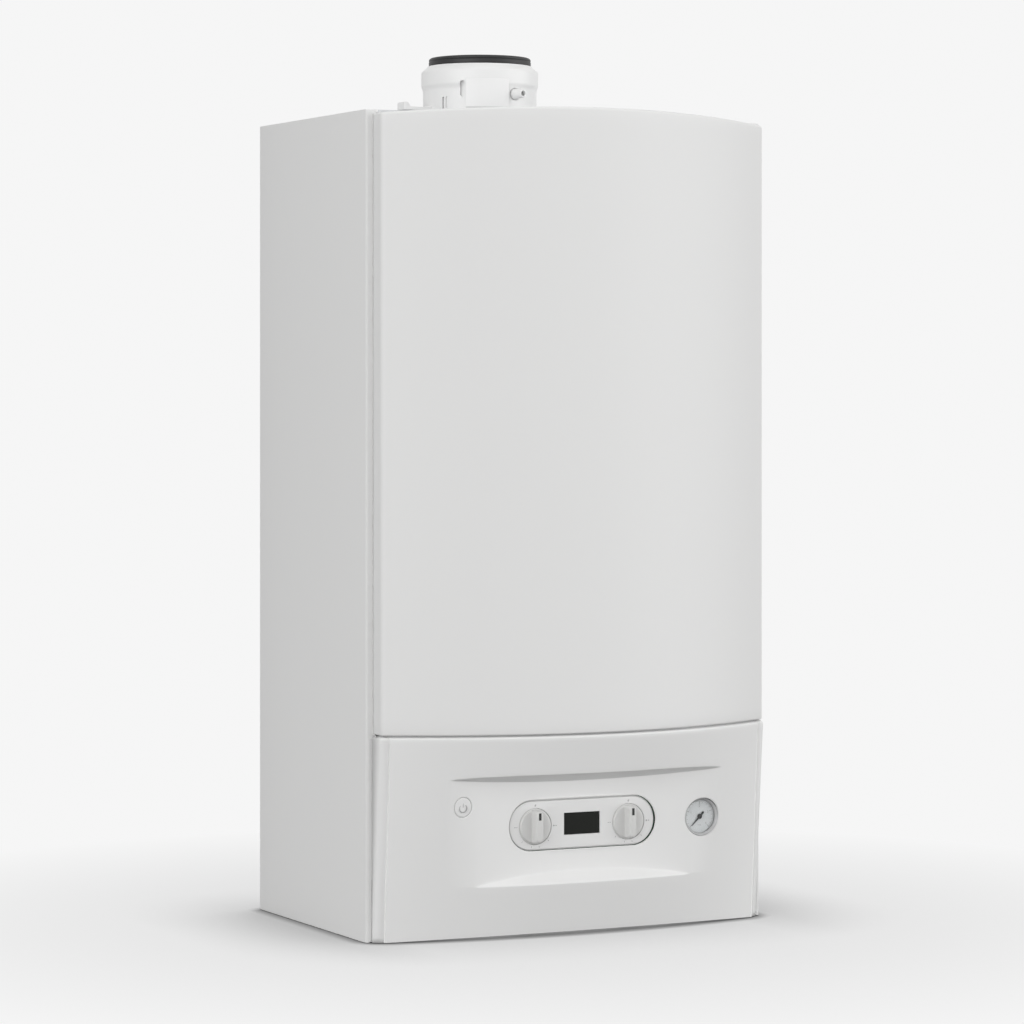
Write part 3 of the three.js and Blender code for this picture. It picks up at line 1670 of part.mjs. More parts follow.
function makePumpHousing() {
  const volute = rodY(pump.radius, pump.rear, pump.front, pump.x, pump.z, sides.middle);
  const neck = block(
    pump.x - hydraulics.neckHalf, pump.x + hydraulics.neckHalf - overrun,
    stubReach - hydraulics.neckHalf, stubReach + hydraulics.neckHalf, hydraulics.high + seat, pump.z,
  );
  const ventBoss = rodZ(pump.ventBoss, pump.z, pump.ventBossHigh, pump.x, stubReach, sides.tiny);
  const outlet = rodZ(pump.outletRadius, pump.z, pump.outletHigh, pump.outletX, stubReach, sides.tiny);
  const cavity = rodY(pump.cavity, pump.cavityRear, pump.front + overrun, pump.x, pump.z, sides.middle);
  const inletBore = rodZ(hydraulics.neckHalf / 2, hydraulics.high - overrun, pump.z, pump.x - overrun / 2,
    stubReach, sides.tiny);
  return cut(fuse(volute, neck, ventBoss, outlet), cavity, inletBore);
}

function makePumpImpeller() {
  const disc = rodY(
    pump.wheel, pump.wheelRear, pump.wheelRear + pump.bladeThick, pump.x, pump.z, sides.middle,
  );
  const hub = rodY(pump.shaft * 2, pump.wheelRear, pump.wheelFront, pump.x, pump.z, sides.tiny);
  const shaft = rodY(pump.shaft, pump.wheelRear, pump.shaftFront, pump.x, pump.z, sides.tiny);
  const blades = [];
  for (let i = 0; i < pump.blades; i += 1) {
    const angle = (i / pump.blades) * Math.PI * 2;
    const along = [Math.cos(angle), Math.sin(angle)];
    const across = [-along[1] * pump.bladeThick / 2, along[0] * pump.bladeThick / 2];
    const near = pump.shaft;
    const far = pump.wheel - pump.bladeThick;
    blades.push(extrudeY(outline([
      [pump.x + along[0] * near - across[0], pump.z + along[1] * near - across[1]],
      [pump.x + along[0] * far - across[0], pump.z + along[1] * far - across[1]],
      [pump.x + along[0] * far + across[0], pump.z + along[1] * far + across[1]],
      [pump.x + along[0] * near + across[0], pump.z + along[1] * near + across[1]],
    ]), pump.wheelRear, pump.wheelFront));
  }
  return fuse(disc, hub, shaft, ...blades);
}

function makePumpMotor() {
  const rear = pump.front + seat;
  const body = turnedY([
    [0, rear],
    [pump.flange, rear],
    [pump.flange, pump.flangeFront],
    [pump.motorRadius, pump.flangeFront],
    [pump.motorRadius, pump.motorFront],
    [pump.motorRadius * 0.5, pump.motorFront],
    [pump.motorRadius * 0.5, pump.capFront],
    [0, pump.capFront],
  ], pump.x, pump.z, sides.middle);
  const bore = rodY(pump.shaft + seat, rear - overrun, pump.shaftFront + seat, pump.x, pump.z, sides.tiny);
  return cut(body, bore);
}

const vent = { radius: 12, cap: 5, high: 278, capHigh: 286 };

function makeAirVent() {
  const low = pump.ventBossHigh + seat;
  return turnedZ([
    [0, low],
    [pump.ventBoss, low],
    [vent.radius, low + vent.cap],
    [vent.radius, vent.high - vent.cap],
    [vent.cap, vent.high],
    [vent.cap, vent.capHigh],
    [0, vent.capHigh],
  ], pump.x, stubReach, sides.small);
}

const blockX = exchangerPlates.half + seat + hydraulics.width / 2;

function makeSafetyValve() {
  const rear = hydraulics.front + seat;
  const body = rodY(safety.radius, rear, safety.front, blockX, safety.z, sides.small);
  const stem = rodY(safety.stem, rear, safety.knobFront - safety.stem, blockX, safety.z, sides.tiny);
  const outlet = rodX(
    safety.outlet, blockX, blockX + safety.side, (rear + safety.front) / 2, safety.z, sides.tiny,
  );
  return fuse(body, stem, outlet);
}

function makeSafetyKnob() {
  const rear = safety.front + seat;
  const body = rodY(safety.knobRadius, rear, safety.knobFront, blockX, safety.z, sides.middle);
  const bore = rodY(
    safety.stem + seat, rear - overrun, safety.knobFront - safety.stem + seat, blockX, safety.z, sides.tiny,
  );
  const grips = [];
  for (let i = 0; i < safety.ribs; i += 1) {
    const angle = (i / safety.ribs) * Math.PI * 2;
    const reach = safety.knobRadius + safety.stem / 4;
    grips.push(rodY(safety.stem / 2, rear - overrun, safety.knobFront + overrun,
      blockX + reach * Math.cos(angle), safety.z + reach * Math.sin(angle), 6));
  }
  return cut(body, bore, ...grips);
}

function makeDiverterMotor() {
  const rear = hydraulics.front + seat;
  const collar = rodY(diverter.collar, rear, diverter.collarFront, -blockX, diverter.z, sides.small);
  const body = extrudeY(
    roundedRectangle(
      -blockX - diverter.half, -blockX + diverter.half,
      diverter.z - diverter.half, diverter.z + diverter.half, diverter.corner,
    ),
    diverter.collarFront - seat, diverter.front, 2,
  );
  const plug = block(
    -blockX - diverter.collar / 2, -blockX + diverter.collar / 2,
    diverter.collarFront + diverter.corner, diverter.front - diverter.corner,
    diverter.z + diverter.half - seat, diverter.z + diverter.half + diverter.corner * 2,
  );
  return fuse(collar, body, plug);
}

const waterPipe = {
  radius: 9,
  bend: 16,
  returnSteps: 30,
  flowSteps: 24,
  ...measuredFrom(innerHalf, { sideX: -16.3 }),
  ...measuredFrom(pump.outletHigh, { riseZ: 26, crossZ: 68 }),
  ...measuredFrom(exchanger.flowLow, { dropZ: -38 }),
  ...measuredFrom(vessel.low, { blockTopZ: -12 }),
};

function makeReturnPipe() {
  const z = exchanger.z - exchanger.returnDrop;
  return pipe([
    [pump.outletX, stubReach, pump.outletHigh + seat],
    [pump.outletX, stubReach, waterPipe.riseZ],
    [waterPipe.sideX, exchanger.returnReach, waterPipe.crossZ],
    [waterPipe.sideX, exchanger.returnReach, z],
    [exchanger.tubeEnd + seat, exchanger.returnReach, z],
  ], waterPipe.radius, waterPipe.bend, waterPipe.returnSteps);
}

function makeFlowPipe() {
  return pipe([
    [exchanger.flowX, exchanger.flowReach, exchanger.flowLow - seat],
    [exchanger.flowX, exchanger.flowReach, waterPipe.dropZ],
    [-blockX, stubReach, waterPipe.blockTopZ],
    [-blockX, stubReach, hydraulics.high + seat],
  ], waterPipe.radius, waterPipe.bend, waterPipe.flowSteps);
}

// Connection stub: threaded end and hexagon under the bottom plate, collar above it
function makeStub(x) {
  const neckLow = floorPlate.low - seat;
  const neckHigh = floorPlate.low + floorPlate.sheet + seat;
  const body = turnedZ([
    [stub.bore, stub.end],
    [stub.thread, stub.end],
    [stub.thread, stub.nutLow],
    [stub.neck, stub.nutLow],
    [stub.neck, neckHigh],
    [stub.collar, neckHigh],
    [stub.collar, stub.high],
    [stub.bore, stub.high],
  ], x, stubReach, sides.small);
  const nut = turnedZ([
    [stub.neck - seat, stub.nutLow],
    [stub.nut, stub.nutLow],
    [stub.nut, neckLow],
    [stub.neck - seat, neckLow],
  ], x, stubReach, 6);
  return fuse(body, nut);
}

function makeInnerFluePipe() {
  return turnedZ([
    [flue.pipeBore, exchanger.spigotTop + seat],
    [flue.pipeRadius, exchanger.spigotTop + seat],
    [flue.pipeRadius, flue.innerTop],
    [flue.pipeBore, flue.innerTop],
  ], 0, flueAxis, sides.middle);
}

// Assembly with each piece's own colour

const whitePaint = () => finish(0xdddddd, 0.38, 0);
const whitePlastic = () => finish(0xd6d6d6, 0.42, 0);
const zincSheet = () => finish(0xa9adb0, 0.45, 0.85);
const blackPlastic = () => finish(0x1c1d1e, 0.5, 0);
const darkGlass = () => finish(0x14161a, 0.12, 0);
const steel = () => finish(0xb9bcbe, 0.35, 0.9);
const castMetal = () => finish(0x9b9e9f, 0.55, 0.8);
const copper = () => finish(0xb56a3f, 0.35, 0.95);
const brass = () => finish(0xb8924a, 0.35, 0.9);
const redPaint = () => finish(0xb3241f, 0.45, 0);
const greyPlastic = () => finish(0x74787b, 0.55, 0);
const greenBoard = () => finish(0x1f5b34, 0.5, 0);
const blackRubber = () => finish(0x202122, 0.75, 0);
const ceramic = () => finish(0xeae6dc, 0.4, 0);

place('left_side_panel', sidePanel(-1), whitePaint());
place('right_side_panel', sidePanel(1), whitePaint());
place('back_plate', makeBackPlate(), zincSheet());
place('top_plate', makeTopPlate(), zincSheet());
place('bottom_plate', makeBottomPlate(), zincSheet());
place('hinge_pin_left', makeHingePin(-1), steel());
place('hinge_pin_right', makeHingePin(1), steel());
place('front_cover', makeFrontCover(), whitePaint());

place('control_fascia', makeControlFascia(), whitePlastic());
place('control_bezel', makeControlBezel(), whitePlastic());
place('heating_knob', makeKnob(-1), whitePlastic());
place('hot_water_knob', makeKnob(1), whitePlastic());
place('display_window', makeDisplayWindow(), darkGlass());
place('display_module', makeDisplayModule(), blackPlastic());
place('heating_potentiometer', makePotentiometer(-1), greyPlastic());
place('hot_water_potentiometer', makePotentiometer(1), greyPlastic());
place('power_button', makePowerButton(), whitePlastic());
place('power_switch', makePowerSwitch(), blackPlastic());
place('gauge_housing', makeGaugeHousing(), whitePlastic());
place('gauge_dial', makeGaugeDial(), whitePlastic());
place('gauge_needle', makeGaugeNeedle(), blackPlastic());
place('gauge_lens', makeGaugeLens(), darkGlass());
place('electronics_box', makeElectronicsBox(), blackPlastic());
place('control_board', makeControlBoard(), greenBoard());

place('flue_adaptor', makeFlueAdaptor(), whitePlastic());
place('flue_seal', makeFlueSeal(), blackRubber());
place('inner_flue_pipe', makeInnerFluePipe(), whitePlastic());

place('heat_exchanger', makeHeatExchanger(), steel());
place('burner', makeBurner(), steel());
place('burner_door', makeBurnerDoor(), castMetal());
place('ignition_electrode', makeElectrode(), ceramic());
place('fan_housing', makeFanHousing(), castMetal());
place('fan_impeller', makeFanImpeller(), greyPlastic());
place('fan_motor', makeFanMotor(), blackPlastic());
place('venturi', makeVenturi(), greyPlastic());
place('air_intake_silencer', makeSilencer(), blackPlastic());

place('gas_valve', makeGasValve(), castMetal());
place('lower_gas_pipe', makeLowerGasPipe(), copper());
place('upper_gas_pipe', makeUpperGasPipe(), copper());

place('condensate_trap', makeCondensateTrap(), greyPlastic());
place('condensate_hose', makeCondensateHose(), blackRubber());
place('condensate_drain', makeCondensateDrain(), greyPlastic());
place('expansion_vessel', makeExpansionVessel(), redPaint());

place('plate_heat_exchanger', makePlateExchanger(), steel());
place('flow_block', makeFlowBlock(), brass());
place('return_block', makeReturnBlock(), brass());
place('pump_housing', makePumpHousing(), castMetal());
place('pump_impeller', makePumpImpeller(), greyPlastic());
place('pump_motor', makePumpMotor(), blackPlastic());
place('air_vent', makeAirVent(), brass());
place('safety_valve', makeSafetyValve(), brass());
place('safety_valve_knob', makeSafetyKnob(), redPaint());
place('diverter_motor', makeDiverterMotor(), blackPlastic());
place('return_pipe', makeReturnPipe(), copper());
place('flow_pipe', makeFlowPipe(), copper());

const stubNames = ['flow_stub', 'hot_water_stub', 'gas_stub', 'cold_water_stub', 'return_stub'];
stubNames.forEach((name, i) => place(name, makeStub(stubX[i]), brass()));

export default boiler;
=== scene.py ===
import json
import math

import bmesh
import bpy
import numpy as np
from mathutils import Matrix, Vector


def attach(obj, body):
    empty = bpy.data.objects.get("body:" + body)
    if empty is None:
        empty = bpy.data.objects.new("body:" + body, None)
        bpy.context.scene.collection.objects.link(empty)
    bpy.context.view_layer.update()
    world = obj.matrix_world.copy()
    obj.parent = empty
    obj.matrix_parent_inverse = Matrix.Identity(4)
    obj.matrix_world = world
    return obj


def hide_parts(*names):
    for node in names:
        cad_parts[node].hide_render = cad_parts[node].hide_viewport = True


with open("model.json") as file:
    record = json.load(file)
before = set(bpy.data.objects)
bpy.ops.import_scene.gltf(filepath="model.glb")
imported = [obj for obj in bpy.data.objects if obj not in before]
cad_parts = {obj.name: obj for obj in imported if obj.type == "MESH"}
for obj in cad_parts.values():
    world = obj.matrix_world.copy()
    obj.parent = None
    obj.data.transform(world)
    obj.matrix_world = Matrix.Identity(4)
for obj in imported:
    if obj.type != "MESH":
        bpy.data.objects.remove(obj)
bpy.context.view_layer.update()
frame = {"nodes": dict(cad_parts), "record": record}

# Sizes are in millimetres in the tables below and become metres in the meshes
mm = 0.001
casingDepth = 321.0
sides = {-1: "left", 1: "right"}


def fromWall(reach):
    return casingDepth / 2 - reach


def addObject(name, data):
    made = bpy.data.objects.new(name, data)
    bpy.context.scene.collection.objects.link(made)
    return made


# Camera at the photograph's place

view = {"place": (-1.562536, -3.119888, 0.487288), "turn": 26.395, "lens": 131.69, "sensor": 36.0,
        "rise": -0.1154}
cameraData = bpy.data.cameras.new("camera")
cameraData.lens = view["lens"]
cameraData.sensor_width = view["sensor"]
cameraData.shift_y = view["rise"]
camera = addObject("camera", cameraData)
camera.location = view["place"]
camera.rotation_euler = (math.radians(90), 0, -math.radians(view["turn"]))
bpy.context.scene.camera = camera
bpy.context.scene.view_settings.view_transform = "Standard"


# A socket with arithmetic, for shader maths

class Term:
    def __init__(self, tree, socket=None):
        self.tree = tree
        self.socket = socket

    def node(self, kind, inputs=None, output=0, **settings):
        made = self.tree.nodes.new(f"ShaderNode{kind}")
        for name, value in settings.items():
            setattr(made, name, value)
        for key, value in (inputs or {}).items():
            if isinstance(value, Term):
                value.into(made.inputs[key])
            else:
                made.inputs[key].default_value = value
        return Term(self.tree, made.outputs[output] if made.outputs else None)

    def maths(self, operation, first=None, second=0.0):
        values = {0: self if first is None else first, 1: second}
        return self.node("Math", values, operation=operation)

    def __add__(self, other):
        return self.maths("ADD", self, other)

    def __radd__(self, other):
        return self.maths("ADD", other, self)

    def __sub__(self, other):
        return self.maths("SUBTRACT", self, other)

    def __rsub__(self, other):
        return self.maths("SUBTRACT", other, self)

    def __mul__(self, other):
        return self.maths("MULTIPLY", self, other)

    def __rmul__(self, other):
        return self.maths("MULTIPLY", other, self)

    def __truediv__(self, other):
        return self.maths("DIVIDE", self, other)

    def __rtruediv__(self, other):
        return self.maths("DIVIDE", other, self)

    def power(self, other):
        return self.maths("POWER", self, other)

    def clamp(self):
        return self.node("Clamp", {"Value": self})

    def into(self, socket):
        self.tree.links.new(self.socket, socket)


def noise(place, scale, detail, stretch=(1.0, 1.0, 1.0)):
    scaled = place.node("Mapping", {"Vector": place, "Scale": stretch})
    return place.node("TexNoise", {"Vector": scaled, "Scale": scale, "Detail": detail})


# Materials: colour and roughness drift slowly over the surface, and a fine grain lifts it

surfaces = {"driftScale": 7.0, "driftDetail": 3.0, "driftShare": 0.5, "coatRoughness": 0.2}


def makeMaterial(name, colour, deep, roughness, grainScale, bump, bumpDepth=0.0004, grainDetail=2.0,
                 stretch=(1.0, 1.0, 1.0), spread=0.06, metallic=0.0, coat=0.0, ior=1.45, transmission=0.0):
    material = bpy.data.materials.new(name)
    material.use_nodes = True
    tree = material.node_tree
    shader = tree.nodes["Principled BSDF"]
    place = Term(tree).node("TexCoord", output=3)
    drift = noise(place, surfaces["driftScale"], surfaces["driftDetail"])
    grain = noise(place, grainScale, grainDetail, stretch)
    blend = drift * surfaces["driftShare"] + grain * (1 - surfaces["driftShare"])
    dark = [channel * deep for channel in colour]
    # The mix node keeps its colour sockets, 6 and 7, after the plain and vector ones
    mixed = place.node("Mix", {0: blend.clamp(), 6: (*dark, 1), 7: (*colour, 1)}, output=2, data_type="RGBA")
    mixed.into(shader.inputs["Base Color"])
    (drift * spread + (roughness - spread / 2)).into(shader.inputs["Roughness"])
    constants = {"Metallic": metallic, "Coat Weight": coat, "Coat Roughness": surfaces["coatRoughness"],
                 "IOR": ior, "Transmission Weight": transmission}
    for name, value in constants.items():
        shader.inputs[name].default_value = value
    raised = place.node("Bump", {"Height": grain, "Strength": bump, "Distance": bumpDepth})
    raised.into(shader.inputs["Normal"])
    return material


# Each look: colour, share of it left in the darker tone, roughness, grain scale, bump, and what is special
looks = {
    "whitePaint": ((0.775, 0.775, 0.77), 0.985, 0.42, 620.0, 0.06, {"bumpDepth": 0.0003}),
    # A darker copy of the white paint: painted shade for the side panels' edging beside the fascia
    "edgePaint": ((0.74, 0.74, 0.735), 0.985, 0.42, 620.0, 0.06, {"bumpDepth": 0.0003}),
    "whitePlastic": ((0.79, 0.79, 0.785), 0.98, 0.4, 1400.0, 0.08, {"bumpDepth": 0.0002}),
    "bezelPlastic": ((0.765, 0.765, 0.76), 0.98, 0.4, 1400.0, 0.08, {"bumpDepth": 0.0002}),
    "knobPlastic": ((0.65, 0.65, 0.64), 0.98, 0.36, 1600.0, 0.06, {"bumpDepth": 0.0002}),
    "fluePlastic": ((0.79, 0.79, 0.785), 0.985, 0.34, 700.0, 0.06, {"bumpDepth": 0.0003}),
    # A mid grey for white plastic parts: painted shade in the seam and on the gauge's cup wall
    "ringGrey": ((0.5, 0.5, 0.505), 0.94, 0.42, 1400.0, 0.06, {"bumpDepth": 0.0002}),
    "dialCard": ((0.62, 0.63, 0.635), 0.96, 0.5, 900.0, 0.03, {}),
    "printGrey": ((0.33, 0.33, 0.33), 0.9, 0.55, 2500.0, 0.05, {}),
    "printPale": ((0.5, 0.5, 0.5), 0.94, 0.55, 2500.0, 0.05, {}),
    "printBlack": ((0.02, 0.02, 0.02), 0.7, 0.5, 2500.0, 0.05, {}),
    "displayGlass": ((0.011, 0.012, 0.01), 0.8, 0.22, 800.0, 0.01, {"ior": 1.25}),
    "lensGlass": ((0.97, 0.98, 0.98), 0.99, 0.05, 300.0, 0.0, {"transmission": 1.0, "ior": 1.3, "spread": 0.02}),
    "blackRubber": ((0.013, 0.013, 0.0135), 0.75, 0.5, 1300.0, 0.2, {}),
    "blackPlastic": ((0.03, 0.031, 0.032), 0.8, 0.45, 1500.0, 0.15, {}),
    "greyPlastic": ((0.27, 0.28, 0.29), 0.9, 0.45, 1300.0, 0.1, {}),
    "zincSheet": ((0.56, 0.57, 0.58), 0.8, 0.42, 60.0, 0.04,
                  {"metallic": 0.85, "grainDetail": 6.0, "spread": 0.16}),
    "steel": ((0.58, 0.58, 0.58), 0.88, 0.3, 420.0, 0.08,
              {"metallic": 1.0, "stretch": (1.0, 0.08, 1.0), "spread": 0.12}),
    "castMetal": ((0.42, 0.43, 0.44), 0.84, 0.5, 700.0, 0.4,
                  {"metallic": 0.9, "grainDetail": 4.0, "spread": 0.12}),
    "copper": ((0.72, 0.34, 0.2), 0.72, 0.3, 90.0, 0.04, {"metallic": 1.0, "grainDetail": 5.0, "spread": 0.18}),
    "brass": ((0.62, 0.44, 0.18), 0.8, 0.32, 300.0, 0.08, {"metallic": 1.0, "grainDetail": 4.0, "spread": 0.14}),
    "redPaint": ((0.42, 0.02, 0.015), 0.86, 0.32, 500.0, 0.1, {"coat": 0.4}),
    "greenBoard": ((0.012, 0.1, 0.04), 0.7, 0.35, 260.0, 0.1, {"coat": 0.3, "grainDetail": 5.0}),
    "ceramic": ((0.78, 0.76, 0.7), 0.92, 0.3, 400.0, 0.05, {"coat": 0.4}),
}
materials = {name: makeMaterial(name, *values, **special) for name, (*values, special) in looks.items()}
otherLooks = {"clear_lens": "lensGlass", "red_plastic": "redPaint"}
nodeSlots = {entry["node"]: entry["material_slot"] for entry in frame["record"]["subparts"]}
print("materials made:", len(materials))


# The other slots' looks have the slot's name in camel case
def slotLook(slotName):
    first, *rest = slotName.split("_")
    return otherLooks.get(slotName, first + "".join(word.capitalize() for word in rest))


# Mesh tools; points come in millimetres as (x, reach, z)

def toFrame(points):
    placed = np.array(points, dtype=float)
    placed[..., 1] = fromWall(placed[..., 1])
    return placed * mm


def newObject(name, mesh, body, slotName, look=None):
    piece = addObject(name, mesh)
    mesh.materials.clear()
    mesh.materials.append(materials[look or slotLook(slotName)])
    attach(piece, body)
    return piece


def fromFaces(name, points, faces):
    mesh = bpy.data.meshes.new(name)
    mesh.from_pydata(toFrame(points).reshape(-1, 3).tolist(), [], faces)
    mesh.validate()
    return mesh


def smooth(mesh, angle):
    mesh.shade_smooth()
    mesh.set_sharp_from_angle(angle=math.radians(angle))
    return mesh


# Merges doubled points and turns the faces outwards; flat is the angle up to which neighbours become one face
def tidyMesh(mesh, angle=35.0, merge=1e-6, flat=0.0):
    shell = bmesh.new()
    shell.from_mesh(mesh)
    bmesh.ops.remove_doubles(shell, verts=shell.verts, dist=merge)
    if flat:
        bmesh.ops.dissolve_limit(shell, angle_limit=math.radians(flat), verts=shell.verts, edges=shell.edges)
    bmesh.ops.recalc_face_normals(shell, faces=shell.faces)
    shell.to_mesh(mesh)
    shell.free()
    return smooth(mesh, angle)


# Quads of a grid of points; wrap joins its last column to the first, and caps are the rows that get a face
def gridFaces(rows, columns, wrap=False, caps=()):
    index = np.arange(rows * columns).reshape(rows, columns)
    ends = [index[row].tolist() for row in caps]
    if wrap:
        index = np.concatenate([index, index[:, :1]], axis=1)
    quads = np.stack([index[:-1, :-1], index[:-1, 1:], index[1:, 1:], index[1:, :-1]], axis=-1)
    return quads.reshape(-1, 4).tolist() + ends


def bake(piece):
    graph = bpy.context.evaluated_depsgraph_get()
    mesh = bpy.data.meshes.new_from_object(piece.evaluated_get(graph), preserve_all_data_layers=True,
                                           depsgraph=graph)
    piece.modifiers.clear()
    piece.data = mesh
    return piece


def addBevel(piece, width, angle=35.0):
    bevel = piece.modifiers.new("edges", "BEVEL")
    bevel.width = width * mm
    bevel.segments = 2
    bevel.limit_method = "ANGLE"
    bevel.angle_limit = math.radians(angle)
    bevel.harden_normals = True


def thicken(piece, wall):
    sheet = piece.modifiers.new("sheet", "SOLIDIFY")
    sheet.thickness = wall * mm
    sheet.offset = -1
    return bake(piece)


# Rounds the corners of a polyline: cuts[i] is how far the arc at point i reaches along its sides, at most
# just short of their middles
def roundCorners(points, cuts, steps=5):
    points = np.asarray(points, dtype=float)
    rounded = []
    for i, point in enumerate(points):
        cut = cuts[i]
        if cut <= 0 or i in (0, len(points) - 1):
            rounded.append(point)
            continue
        before = points[i - 1] - point
        after = points[i + 1] - point
        start = point + before / np.linalg.norm(before) * min(cut, np.linalg.norm(before) * 0.49)
        end = point + after / np.linalg.norm(after) * min(cut, np.linalg.norm(after) * 0.49)
        # Quadratic arc: (1 - t)^2 start + 2 t (1 - t) point + t^2 end
        for t in np.linspace(0, 1, steps):
            rounded.append((1 - t) ** 2 * start + 2 * t * (1 - t) * point + t ** 2 * end)
    return np.array(rounded)


def circle(count):
    return np.linspace(0, 2 * math.pi, count, endpoint=False)


# Profile carried round an axis: rows are (radius, height) or (radius, height, cut of that corner)
def turned(name, profile, centre, axis="y", count=96, steps=5, closed=False):
    line = np.array([row[:2] for row in profile], dtype=float)
    cuts = [row[2] if len(row) > 2 else 0 for row in profile]
    if closed:
        line = np.concatenate([line[-1:], line, line[:1]])
        line = roundCorners(line, [0, *cuts, 0], steps)[1:-1]
        line = np.concatenate([line, line[:1]])
    else:
        line = roundCorners(line, cuts, steps)
    sheets = [line[:, :1] * np.cos(circle(count)), line[:, :1] * np.sin(circle(count))]
    sheets.insert("xyz".index(axis), np.broadcast_to(line[:, 1:], sheets[0].shape))
    points = np.stack(sheets, axis=-1) + np.array(centre)
    return tidyMesh(fromFaces(name, points, gridFaces(len(line), count, wrap=True)))


def rod(name, radius, rear, front, centre, axis="y", count=32, cut=0.0):
    return turned(name, [(0, rear), (radius, rear, cut), (radius, front), (0, front)], centre, axis, count)


def prism(name, outline, rear, front, axis="y"):
    outline = np.asarray(outline, dtype=float)
    points = [np.insert(outline, "xyz".index(axis), level, axis=1) for level in (rear, front)]
    return tidyMesh(fromFaces(name, points, gridFaces(2, len(outline), wrap=True, caps=(0, -1))))


# Rectangle with a quarter circle at each corner
def boxOutline(left, right, low, high, radius, steps=6):
    corners = [(right - radius, low + radius, -90), (right - radius, high - radius, 0),
               (left + radius, high - radius, 90), (left + radius, low + radius, 180)]
    points = []
    for cx, cz, start in corners:
        angles = np.radians(start + np.linspace(0, 90, steps))
        points.append(np.stack([cx + radius * np.cos(angles), cz + radius * np.sin(angles)], axis=-1))
    return np.concatenate(points)


def joined(name, meshes):
    shell = bmesh.new()
    for mesh in meshes:
        shell.from_mesh(mesh)
    whole = bpy.data.meshes.new(name)
    shell.to_mesh(whole)
    shell.free()
    return smooth(whole, 35)


def cutWith(piece, cutters):
    tools = [addObject(f"{piece.name}_cut_{number}", mesh) for number, mesh in enumerate(cutters)]
    for tool in tools:
        carve = piece.modifiers.new(tool.name, "BOOLEAN")
        carve.operation = "DIFFERENCE"
        carve.solver = "EXACT"
        carve.object = tool
    bpy.context.view_layer.update()
    bake(piece)
    for tool in tools:
        bpy.data.objects.remove(tool)
    smooth(piece.data, 30)


# Front cover

cover = {
    "half": 194.6, "bowHalf": 193.5, "corner": 264.0, "bow": 57.0, "rear": 246.1, "low": 184.9, "seam": 186.2,
    "top": 736.6, "arch": 6.5, "sheet": 1.5, "cornerCut": 3.2, "cornerRoom": 4.0, "topCut": 2.6, "lowCut": 1.4,
    "hem": 10.0, "columns": 181, "rows": 60,
}


# Bow of the cover: reach = corner + bow (1 - (x / bowHalf)^2)
def coverReach(x):
    return cover["corner"] + cover["bow"] * (1 - (x / cover["bowHalf"]) ** 2)


# Top edge: top + arch (1 - (x / half)^2)
def coverTop(x):
    share = np.minimum(np.abs(x) / cover["half"], 1)
    return cover["top"] + cover["arch"] * (1 - share ** 2)


def coverPlan():
    frontHalf = cover["half"] - cover["cornerCut"] - cover["cornerRoom"]
    side = roundCorners(
        [(-cover["half"], cover["rear"]), (-cover["half"], cover["corner"]), (-frontHalf, coverReach(frontHalf))],
        [0, cover["cornerCut"], 0], 9,
    )[:-1]
    rearSide = np.stack([np.full(4, -cover["half"]), np.linspace(cover["rear"], side[1][1], 5)[:-1]], axis=-1)
    side = np.concatenate([rearSide, side[1:]])
    x = np.linspace(-frontHalf, frontHalf, cover["columns"])
    return np.concatenate([side, np.stack([x, coverReach(x)], axis=-1), side[::-1] * [-1, 1]])


def planNormals(plan):
    along = np.gradient(plan, axis=0)
    inward = np.stack([along[:, 1], -along[:, 0]], axis=-1)
    return inward / np.linalg.norm(inward, axis=1, keepdims=True)


# Top of a shell: the last row turns inwards along a quarter circle and then runs level to the rear
def turnTop(layers, cut, rear):
    last = layers[-1]
    inward = planNormals(last[:, :2])
    for angle in np.radians(range(15, 91, 15)):
        ring = last.copy()
        ring[:, :2] += inward * cut * (1 - math.cos(angle))
        ring[:, 2] += cut * math.sin(angle)
        layers.append(ring)
    edge = layers[-1]
    end = edge.copy()
    end[:, 1] = rear
    return np.stack(layers + [edge + (end - edge) * share for share in (0.25, 0.5, 0.75, 1.0)])


def makeCover():
    plan = coverPlan()
    inward = planNormals(plan)
    layers = []

    def layer(offset, height):
        line = plan + inward * offset
        layers.append(np.stack([line[:, 0], line[:, 1], np.broadcast_to(height, len(line))], axis=-1))

    layer(cover["hem"], cover["low"])
    layer(cover["hem"] / 2, cover["low"])
    for angle in np.radians([90, 68, 45, 22]):
        layer(cover["lowCut"] * (1 - math.cos(angle)), cover["low"] + cover["lowCut"] * (1 - math.sin(angle)))
    low = cover["low"] + cover["lowCut"]
    high = coverTop(plan[:, 0]) - cover["topCut"]
    for share in np.linspace(0, 1, cover["rows"]):
        layer(0, low + (high - low) * share)
    points = turnTop(layers, cover["topCut"], cover["rear"])
    mesh = smooth(fromFaces("cover_shell", points, gridFaces(*points.shape[:2])), 60)
    piece = newObject("cover_shell", mesh, "cover", "white_paint")
    thicken(piece, cover["sheet"])
    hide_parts("front_cover")
    return piece


coverPiece = makeCover()
print("cover done")


# Control fascia with its two crescents and the scooped band between them

fascia = {
    "half": 196.0, "faceHalf": 187.5, "faceEdge": 2.5, "rear": 247.0, "sideFront": 264.0, "sideCut": 2.2,
    "cornerLean": 10.0, "middleLean": 45.0, "flankLean": 15.5, "lowArch": 2.4, "ease": 0.045,
    "low": 0.3, "high": 183.2, "wall": 2.5, "topCut": 2.2, "upperZ": 145.0, "upperTip": 138.0,
    "upperRise": 2.7, "upperFall": 6.6, "upperDepth": 38.0, "lowerZ": 47.7, "lowerTip": 110.6,
    "lowerRise": 9.3, "lowerDepth": 15.0, "edge": 0.3, "edgeCut": 0.8, "columns": 221,
    "spans": (10, 8, 26, 8, 10), "crease": 0.6, "creaseDepth": 1.2, "creaseLean": 0.4, "creaseEnd": 6.0,
    "creaseFade": 3.0,
}


